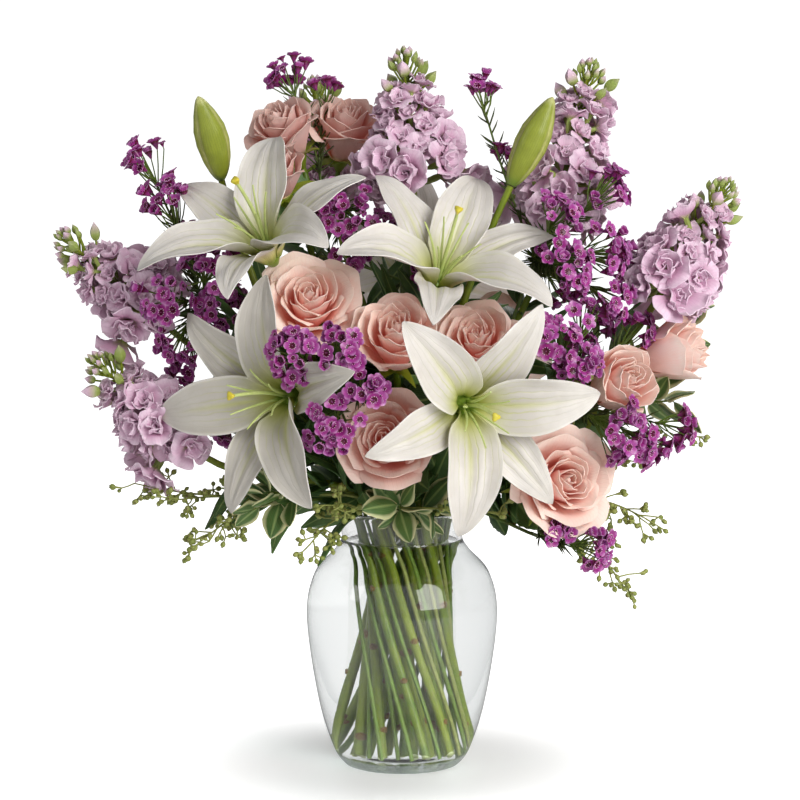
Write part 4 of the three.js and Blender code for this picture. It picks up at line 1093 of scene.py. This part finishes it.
for number, (name, ring, place, heads, *fork) in enumerate(STEMS):
    plant = name.split("_")[1]
    radius = STEM_RADII[plant]
    draw = random.Random(500 + number)
    shade = draw.random()
    heads = heads.split()
    low, high = straight_part(ring, place)
    axis = (high - low).normalized()
    at, way = ends[heads[0]]
    turn_at, turn_way = (Vector(fork[0]), Vector(fork[1])) if fork else (at, way)
    line = through_neck(low, high, turn_at, turn_way, 12, 16)
    if fork:
        line += bend(turn_at, turn_way, at, way, 10)
    if plant == "stock":  # it goes on through the head
        short = heads[0] in ("stock_left", "stock_low_left")
        line += [at + way * t for t in ((20, 45, 70) if short else (20, 45, 70, 86))]
    taper = np.linspace(1.04, 0.78 if fork else 0.9, len(line))
    bumps = [1 + 0.035 * math.sin(1.7 * i + shade * 9) for i in range(len(line))]
    skeleton = Skeleton()
    skeleton.line(line, radius * taper * bumps, shade, cut=True)
    for i in range(SCARS):
        k = 2.5 + 2.2 * i + draw.uniform(-0.6, 0.6)
        at = line[int(k)].lerp(line[int(k) + 1], k % 1)
        a = 2.4 * i + shade * 6
        off = axis.cross(Vector((math.cos(a), math.sin(a), 0.1))).normalized()
        thick = radius * (1.02 - 0.01 * k)
        foot = at + off * thick * 0.55
        scar = [foot, foot + off * thick * 0.4, at + off * thick * 1.4 + 1.6 * axis]
        skeleton.line(scar, [thick * 1.0, thick * 0.85, thick * 0.3], shade, scar=1.0)
    for head in heads[1:]:
        at, way = ends[head]
        leaving = (at - turn_at).normalized() + 0.35 * turn_way.normalized()
        branch = [turn_at] + bend(turn_at, leaving, at, way, 10)
        skeleton.line(branch, np.linspace(0.72, 0.6, 11) * radius, shade)
    *shape, leaf_length, leaf_count = LEAVES[plant]
    for i in range(leaf_count):
        k = draw.randrange(15, len(line) - (7 if plant == "stock" else 3))
        along = (line[k + 1] - line[k]).normalized()
        off = along.cross(any_way(draw)).normalized()
        away = Vector((line[k].x, line[k].y, 0)).normalized()
        off = (off + 0.6 * away - along * along.dot(away) * 0.6).normalized()
        size = leaf_length * draw.uniform(0.75, 1.1)
        skeleton.piece(line[k] + off * radius * 0.8, off + 0.55 * along, size)
    stem = grow(name + "_grown", skeleton, STEM_SIDES, number, leaf_kinds[plant], stem_green, leaf_green)
    # the slanting cut, made by shearing the end ring along the stem
    slant = axis.cross(Vector((math.cos(number), math.sin(number), 0))).normalized()
    for vertex in stem.data.vertices:
        offset = vertex.co - low * MM
        if offset.length < radius * MM * 1.5 and abs(offset.dot(axis)) < 0.0006:
            vertex.co += axis * (offset.dot(slant) + radius * MM) * 0.75
    smooth(stem, 50)
    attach(stem, "root")
    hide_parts(name)

# ---- the cups under the roses -------------------------------------------------------------------
# A rose sits in a small green cup at the end of its stem. Five narrow sepals grow from the cup,
# stand out under the petals and bend down.

SEPALS = 5
SEPAL_LENGTH = 24

for number, (name, middle, way, across, tall, openness, dusk, roll) in enumerate(ROSES):
    draw = random.Random(700 + number)
    way = Vector(way).normalized()
    place = facing(Vector(middle) - tall * way, way, number)
    cup = Blades()
    line = upright((-10.5, -8, -5, -2.5, -0.2, 1.5))
    cup.rod(line, [2.6, 3.8, 5.6, 6.6, 7.4, 5.5], 16, place, shade=0.6)
    v, side = sheet(9, 5)
    for i in range(SEPALS):
        lean = math.radians(draw.uniform(28, 75)) + 0.9 * v
        step = SEPAL_LENGTH / (len(v) - 1)
        out = 5.6 + run(np.sin(lean[1:])) * step
        rise = -1.5 + run(np.cos(lean[1:])) * step
        half = 3.6 * (1 - v) ** 0.8 + 0.25
        a = 2 * math.pi * (i + draw.uniform(-0.1, 0.1)) / SEPALS + side * half / np.maximum(out, 5)
        cup.add(wheel(out + 0.25 * half * side**2, a, rise), 0.7, place, shade=draw.uniform(0.3, 0.9))
    cup = cup.object("cup_" + name, stem_green)
    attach(cup, "root")

# ---- the tips of the stock ----------------------------------------------------------------------
# The end of each spike is still closed: a cluster of tight green buds on short stalks, and below
# it a few that show their first lavender.

CLOSED_BUDS = 17
OPENING_BUDS = 5
BUD_KINDS = 3

bud_kinds = []
t = np.linspace(0, 1, 8)
lobes = 1 - 0.16 * np.maximum(0, np.cos(4 * 2 * math.pi * np.arange(64) / 8))
for i in range(BUD_KINDS):
    swell = np.array([0.3, 0.5, 0.6, 0.62, 0.56, 0.42, 0.22, 0.05]) * (1.25 if i == 2 else 1)
    case, faces, flat = rod(np.stack([0.05 * t, 0 * t, 1.9 * t], axis=-1), swell, 8)
    case[:64, :2] *= lobes[:, None]
    made = Blades()
    made.put(case, faces, flat, green=np.clip(1.35 - (0.6 + 0.6 * i) * flat[:, 1], 0, 1))
    bud_kinds.append(made.object("stock_bud_%d" % i, scale=1.0))
stock_buds = kinds_of("stock_buds", bud_kinds)

for number, (name, foot, top, florets, foot_reach, tip_reach) in enumerate(STOCKS):
    draw = random.Random(800 + number)
    place = facing(top, Vector(top) - Vector(foot))
    skeleton = Skeleton()
    for i in range(CLOSED_BUDS + OPENING_BUDS):
        t = i / (CLOSED_BUDS - 1)
        is_open = i >= CLOSED_BUDS  # these stand lower and further out, on longer stalks
        if is_open:
            low = i - CLOSED_BUDS
            a = 2.4 * low + number
            start = Vector((0, 0, -18 + 3 * low))
            end = Vector((14 * math.cos(a), 14 * math.sin(a), -8 + 3 * low))
            middle = start.lerp(end, 0.6) - Vector((0, 0, 2))
            lean, rise = 0.7, 0.8
        else:
            a = 2.4 * i + draw.uniform(-0.3, 0.3)
            reach = 10.5 * (1 - t) ** 0.6 + 0.6
            start = Vector((0, 0, -6 + 17 * t))
            end = Vector((reach * math.cos(a), reach * math.sin(a), 2 + 17 * t + 4 * (1 - t)))
            middle = start.lerp(end, 0.55) + Vector((0, 0, -1.5))
            lean, rise = 0.6 * (1 - t), 0.9
        radii = (1.1, 0.9, 0.8) if is_open else (0.9, 0.75, 0.7)
        skeleton.line([place @ start, place @ middle, place @ end], radii, 0.9)
        way = place.to_3x3() @ Vector((lean * math.cos(a), lean * math.sin(a), rise))
        size = draw.uniform(5.6, 6.8) if is_open else draw.uniform(3.3, 4.3) * (1 - 0.25 * t)
        skeleton.piece(place @ end - 1.0 * way.normalized(), way, size)
    tip = grow("tip_" + name, skeleton, 7, number, stock_buds, stem_green, stock_lavender)
    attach(tip, "root")

# ---- the waxflower ------------------------------------------------------------------------------
# Purple waxflower: loose heads of small five-petalled flowers with a dark glossy cup, on wiry
# stalks that carry fine needle leaves, among buds that are still closed.

SPRAY_RADIUS = 1.4
SPRAY_SIDES = 6
NEEDLES = 26
HEART_OF_BOUQUET = Vector((0, 0, 285))
WAX = [  # name, ring and place, hub, way there, then middle, flowers and spread of each tuft
    ("wax_left", "outer", 15, (-140, -22, 330), (-0.5, -0.1, 0.85),
     ((-173, -30, 424, 13, 19), (-160, -38, 397, 20, 21), (-162, -72, 334, 16, 18),
      (-132, -62, 352, 18, 19), (-128, -54, 326, 16, 17), (-152, -48, 305, 14, 17),
      (-146, -40, 372, 12, 15), (-121, -30, 333, 12, 15), (-148, -26, 286, 12, 16),
      (-120, -36, 244, 10, 14))),
    ("wax_top", "middle", 8, (-56, 10, 402), (-0.1, 0, 1),
     ((-80, 50, 484, 15, 16), (-54, 44, 476, 9, 12), (-40, -46, 394, 22, 19), (-16, -40, 378, 14, 14),
      (-58, -30, 392, 10, 14), (-36, -30, 364, 12, 14), (14, -34, 352, 9, 13))),
    ("wax_middle", "outer", 18, (-38, -70, 262), (-0.2, -0.7, 0.5),
     ((-70, -140, 306, 18, 16), (-40, -138, 304, 20, 17), (-24, -138, 280, 14, 13),
      (-46, -134, 254, 28, 21), (-66, -120, 286, 10, 14))),
    ("wax_top_right", "outer", 1, (92, -24, 360), (0.3, -0.1, 0.9),
     ((53, 0, 474, 12, 14), (74, -6, 426, 9, 15), (138, -50, 406, 20, 19), (104, -64, 390, 16, 18),
      (112, -70, 356, 24, 20), (134, -60, 366, 22, 20), (142, -52, 334, 16, 18), (108, -30, 342, 12, 15),
      (146, -28, 358, 12, 15), (86, -30, 366, 9, 13))),
    ("wax_right", "outer", 23, (112, -50, 262), (0.5, -0.5, 0.6),
     ((102, -92, 306, 22, 18), (117, -92, 287, 18, 17), (144, -84, 246, 30, 23), (166, -76, 238, 18, 17),
      (188, -62, 246, 12, 14), (124, -66, 322, 12, 17), (160, -40, 308, 12, 16), (132, -22, 316, 12, 16),
      (122, -44, 299, 9, 14))),
    ("wax_low_right", "outer", 22, (92, -66, 172), (0.5, -0.6, -0.1),
     ((127, -96, 168, 17, 15), (104, -92, 178, 8, 11))),
    ("wax_back", "middle", 6, (0, 64, 340), (0, 0.5, 0.8),
     ((-24, 110, 300, 22, 21), (46, 96, 370, 22, 21), (-110, 60, 370, 22, 21), (110, 70, 350, 20, 20),
      (0, 112, 256, 18, 20))),
]

wax_purple, tree, shader = finish_of("wax_purple", 0.33, Subsurface_Weight=0.06, Subsurface_Scale=0.001)
patch = mottled(tree, 420.0)
colour = painted(
    0x98267E,
    (mark(tree, "shade"), 0xB04EA0),
    (veined(tree, 5.0, 1.0)["Along"].ramp(0.45, 1.0, 0, 0.75), 0xD29CCF),
    (patch["Mask"] * 0.3, 0x7C1A66),
    (mark(tree, "cup"), 0x5A0C2E),
    (mark(tree, "pollen"), 0xE9C3D6),
)
cover(shader, colour, patch["Fine"], 0.0001, 0.4)

twig_green, tree, shader = finish_of("twig_green", 0.5)
patch = mottled(tree, 160.0)
colour = painted(0x34451B, (mark(tree, "shade"), 0x6C8C2A), (patch["Mask"] * 0.3, 0x5E4A2C))
cover(shader, colour, patch["Fine"], 0.0003, 0.5)


# One flower, 1 unit in radius, or a closed bud: petals round a shallow cup with a ring of pollen.
def wax_flower(name, spread, draw):
    made = Blades()
    v, side = sheet(5, 5)
    half = 0.4 * np.sqrt(np.clip(1 - (1.75 * (v - 0.43)) ** 2, 0.02, 1))
    far = 0.34 + 0.66 * v * math.cos(spread)
    for i in range(5):
        rise = 0.1 + 0.66 * v * math.sin(spread) + 0.22 * side**2 * half + draw.uniform(-0.05, 0.05) * v
        a = 2 * math.pi * i / 5 + draw.uniform(-0.08, 0.08)
        made.add(spun(far + 0 * side, side * half, rise, a), 0.05)
    cup, faces, flat = rod(upright((-0.75, -0.35, 0.0, 0.14)), [0.1, 0.26, 0.44, 0.5], 10)
    cup[-1] = (0, 0, -0.12)
    made.put(cup, faces, flat, cup=np.where(cup[:, 2] < -0.2, 0.35, 1.0))
    made.rod(upright((-0.1, 0.34)), [0.06, 0.05], 4, cup=0.6)
    for i in range(10):
        a = 2 * math.pi * (i + 0.5) / 10
        x, y = 0.4 * math.cos(a), 0.4 * math.sin(a)
        made.rod([(x, y, 0.1), (x * 0.9, y * 0.9, 0.24)], [0.06, 0.05], 3, pollen=1.0)
    return made.object(name, scale=1.0)


# The start of a spray: its stem, from the cut end to the hub, darker or lighter towards there.
def rooted(ring, place, hub, hub_way, first_shade, last_shade):
    line = through_neck(*straight_part(ring, place), hub, hub_way, 6, 12)
    shades = np.linspace(first_shade, last_shade, len(line))
    skeleton = Skeleton()
    skeleton.line(line, np.linspace(1.05, 0.85, len(line)) * SPRAY_RADIUS, shades, cut=True)
    return skeleton


# A slightly bowed twig from one place to another, as a line of points.
def bowed(start, end, bow, steps, draw):
    side = (end - start).cross(any_way(draw)).normalized() * bow * (end - start).length
    return [start.lerp(end, k / steps) + side * math.sin(math.pi * k / steps) for k in range(steps + 1)]


def scattered(draw, size):
    return Vector([draw.gauss(0, size) for axis in range(3)])


draw = random.Random(11)
openings = (0.25, 0.5, 0.35, 1.25)  # the last is a bud
made = [wax_flower("wax_flower_%d" % i, spread, draw) for i, spread in enumerate(openings)]
wax_kinds = kinds_of("wax_kinds", made)

for number, (name, ring, place, hub, hub_way, tufts) in enumerate(WAX):
    draw = random.Random(900 + number)
    hub = Vector(hub)
    skeleton = rooted(ring, place, hub, hub_way, 1.3, 0.2)
    for *centre, flowers, spread in tufts:
        centre = Vector(centre)
        outwards = (centre - hub).normalized()
        root = centre - outwards * (spread + 4)
        stalk = bowed(hub, root, 0.05, 6, draw)
        skeleton.line(stalk, np.linspace(1.05, 0.75, 7), 0.5)
        for i in range(NEEDLES):
            k = draw.uniform(0.1, 0.98) * 6
            at = stalk[int(k)].lerp(stalk[min(int(k) + 1, 6)], k % 1)
            off = outwards.cross(any_way(draw)).normalized()
            tip = at + (off * 0.7 + outwards * 0.7) * draw.uniform(8, 18)
            skeleton.line([at, at.lerp(tip, 0.6) + off * 0.5, tip], [0.65, 0.6, 0.15], 0.1)
        seen_from = (centre - HEART_OF_BOUQUET).normalized()
        for i in range(flowers):
            for attempt in range(8):  # tries for a way that doesn't point back into the bouquet
                way = scattered(draw, 1).normalized()
                if way.dot(outwards + 0.5 * seen_from) > 0.1:
                    break
            at = centre + way * spread * draw.uniform(0.6, 1.02)
            size = draw.uniform(5.6, 7.0)
            faces_to = (0.9 * way + 0.5 * outwards + 0.9 * seen_from + scattered(draw, 0.3)).normalized()
            start = root + outwards * draw.uniform(0, spread * 0.6)
            foot = at - faces_to * 0.7 * size
            stalklet = [start, start.lerp(foot, 0.5) + way * 1.5, foot, at - faces_to * 0.3 * size]
            skeleton.line(stalklet, [0.6, 0.5, 0.45, 0.4], 0.6)
            skeleton.piece(at, faces_to, size * (0.62 if i % 6 == 5 else 1))  # every sixth is small
    spray = grow("spray_" + name, skeleton, SPRAY_SIDES, number, wax_kinds, twig_green, wax_purple)
    smooth(spray, 60)
    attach(spray, "root")
    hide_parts(name)

# ---- the seeded gum -----------------------------------------------------------------------------
# Sprays of seeded gum that hang over the rim: olive capsules, pointed at the end, in threes to
# fives on fine branching stalks.

GUM = [  # name, ring and place, hub, way there, then the end, twigs and reach of each tuft
    ("gum_left", "outer", 17, (-104, -44, 196), (-0.8, -0.2, 0.1),
     ((-136, -70, 170, 14, 19), (-184, -50, 206, 10, 13), (-156, -62, 196, 8, 14))),
    ("gum_front", "outer", 19, (-30, -62, 190), (-0.2, -0.9, 0.1),
     ((-62, -92, 170, 10, 15), (-46, -98, 196, 8, 14), (66, -82, 190, 6, 11))),
    ("gum_right", "outer", 21, (112, -40, 196), (0.8, -0.3, 0),
     ((150, -64, 138, 16, 20), (166, -66, 184, 13, 18), (196, -58, 240, 9, 13), (116, -96, 284, 6, 10))),
    ("gum_back", "middle", 4, (20, 74, 230), (0.1, 0.9, 0.1),
     ((66, 122, 208, 10, 16), (-34, 122, 198, 10, 16))),
]

gum_green, tree, shader = finish_of("gum_green", 0.46)
patch = mottled(tree, 330.0)
coats = (mark(tree, "shade"), 0xA3A85C), (patch["Mask"] * 0.45, 0x6C7A34), (mark(tree, "tip"), 0x6B5B35)
cover(shader, painted(0x8B9748, *coats), patch["Fine"], 0.0002, 0.5)

capsules = []
t = np.array([0, 0.12, 0.3, 0.5, 0.7, 0.84, 0.93, 1.06])
for i in range(2):
    made = Blades()
    swell = [0.16, 0.55, 0.86, 1.0, 0.9, 0.62, 0.34, 0.1]
    case, faces, flat = rod(np.stack([0 * t, 0.06 * i * t, 2.5 * t], axis=-1), swell, 8)
    made.put(case, faces, flat, tip=np.clip((case[:, 2] - 2.1) * 3, 0, 1))
    capsules.append(made.object("gum_capsule_%d" % i, scale=1.0))
gum_kinds = kinds_of("gum_kinds", capsules)

for number, (name, ring, place, hub, hub_way, tufts) in enumerate(GUM):
    draw = random.Random(1000 + number)
    hub = Vector(hub)
    skeleton = rooted(ring, place, hub, hub_way, 0.7, 0.7)
    for *end, twigs, reach in tufts:
        end = Vector(end)
        stalk = bowed(hub, end, 0.07, 12, draw)
        skeleton.line(stalk, np.linspace(1.0, 0.5, 13), 0.8)
        outwards = (end - hub).normalized()
        for i in range(twigs):
            at = hub.lerp(end, 0.35 + 0.65 * i / (twigs - 1))
            at = min(stalk, key=lambda p: (p - at).length)
            off = Vector((draw.gauss(0, 1), draw.gauss(0, 1), draw.gauss(0, 0.8) - 0.3)).normalized()
            joint = at + (0.75 * off + 0.6 * outwards).normalized() * reach * draw.uniform(0.45, 0.8)
            skeleton.line([at, at.lerp(joint, 0.5) + off * 0.8, joint], [0.6, 0.55, 0.5], 0.9)
            for j in range(draw.choice((3, 4, 5))):
                fan = (0.6 * (joint - at).normalized() + scattered(draw, 0.6)).normalized()
                seat = joint + fan * draw.uniform(2.4, 5.0)
                skeleton.line([joint, seat], [0.5, 0.55], 0.9)
                skeleton.piece(seat - fan * 0.2, fan, draw.uniform(1.45, 2.0))
    spray = grow("spray_" + name, skeleton, SPRAY_SIDES, number, gum_kinds, gum_green, gum_green)
    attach(spray, "root")
    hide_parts(name)

# ---- the mock orange ----------------------------------------------------------------------------
# Twigs of variegated mock orange: glossy dark leaves with wavy cream margins, which stand round
# each twig in a spiral.

LEAFY = [  # name, ring and place, hub, way there, then the end and leaves of each twig
    ("leaves_left", "outer", 13, (-70, -56, 196), (-0.5, -0.7, 0.2),
     ((-92, -86, 204, 9), (-104, -72, 190, 5))),
    ("leaves_front", "middle", 14, (0, -56, 188), (0, -0.9, 0.2),
     ((-2, -86, 196, 9), (24, -78, 190, 5))),
    ("leaves_right", "outer", 3, (160, -26, 262), (0.7, -0.2, 0.4),
     ((186, -36, 262, 7), (204, 4, 318, 7))),
    ("leaves_back", "outer", 11, (-60, 60, 214), (-0.6, 0.7, 0.2),
     ((-86, 88, 224, 9), (-40, 96, 216, 6))),
]
LEAF_LENGTH = 25

draw = random.Random(17)
bows = (0.06, 0.18, 0.3)
made = [leaf("orange_leaf_%d" % i, 0.29, 0.25, bow, 0.03, 1.0, draw, 11, 11) for i, bow in enumerate(bows)]
orange_leaves = kinds_of("orange_leaves", made)

for number, (name, ring, place, hub, hub_way, twigs) in enumerate(LEAFY):
    draw = random.Random(1100 + number)
    hub = Vector(hub)
    skeleton = rooted(ring, place, hub, hub_way, 1.3, 0.3)
    for *end, leaves in twigs:
        end = Vector(end)
        stalk = bowed(hub, end, 0.06, 8, draw)
        skeleton.line(stalk, np.linspace(1.3, 0.7, 9), 0.5)
        outwards = (end - hub).normalized()
        side = outwards.cross(Vector((0, 0, 1))).normalized()
        for i in range(leaves):
            a = 2.4 * i + draw.uniform(-0.3, 0.3)
            off = side * math.cos(a) + outwards.cross(side) * math.sin(a)
            at = stalk[min(8, int(2 + 7 * i / leaves))]
            way = (off + outwards * (0.5 + 0.9 * i / leaves)).normalized()
            skeleton.piece(at + way * 2.4, way, LEAF_LENGTH * draw.uniform(0.8, 1.2))
    twig = grow("twigs_" + name, skeleton, SPRAY_SIDES, number, orange_leaves, twig_green, leaf_green)
    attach(twig, "root")
    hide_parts(name)
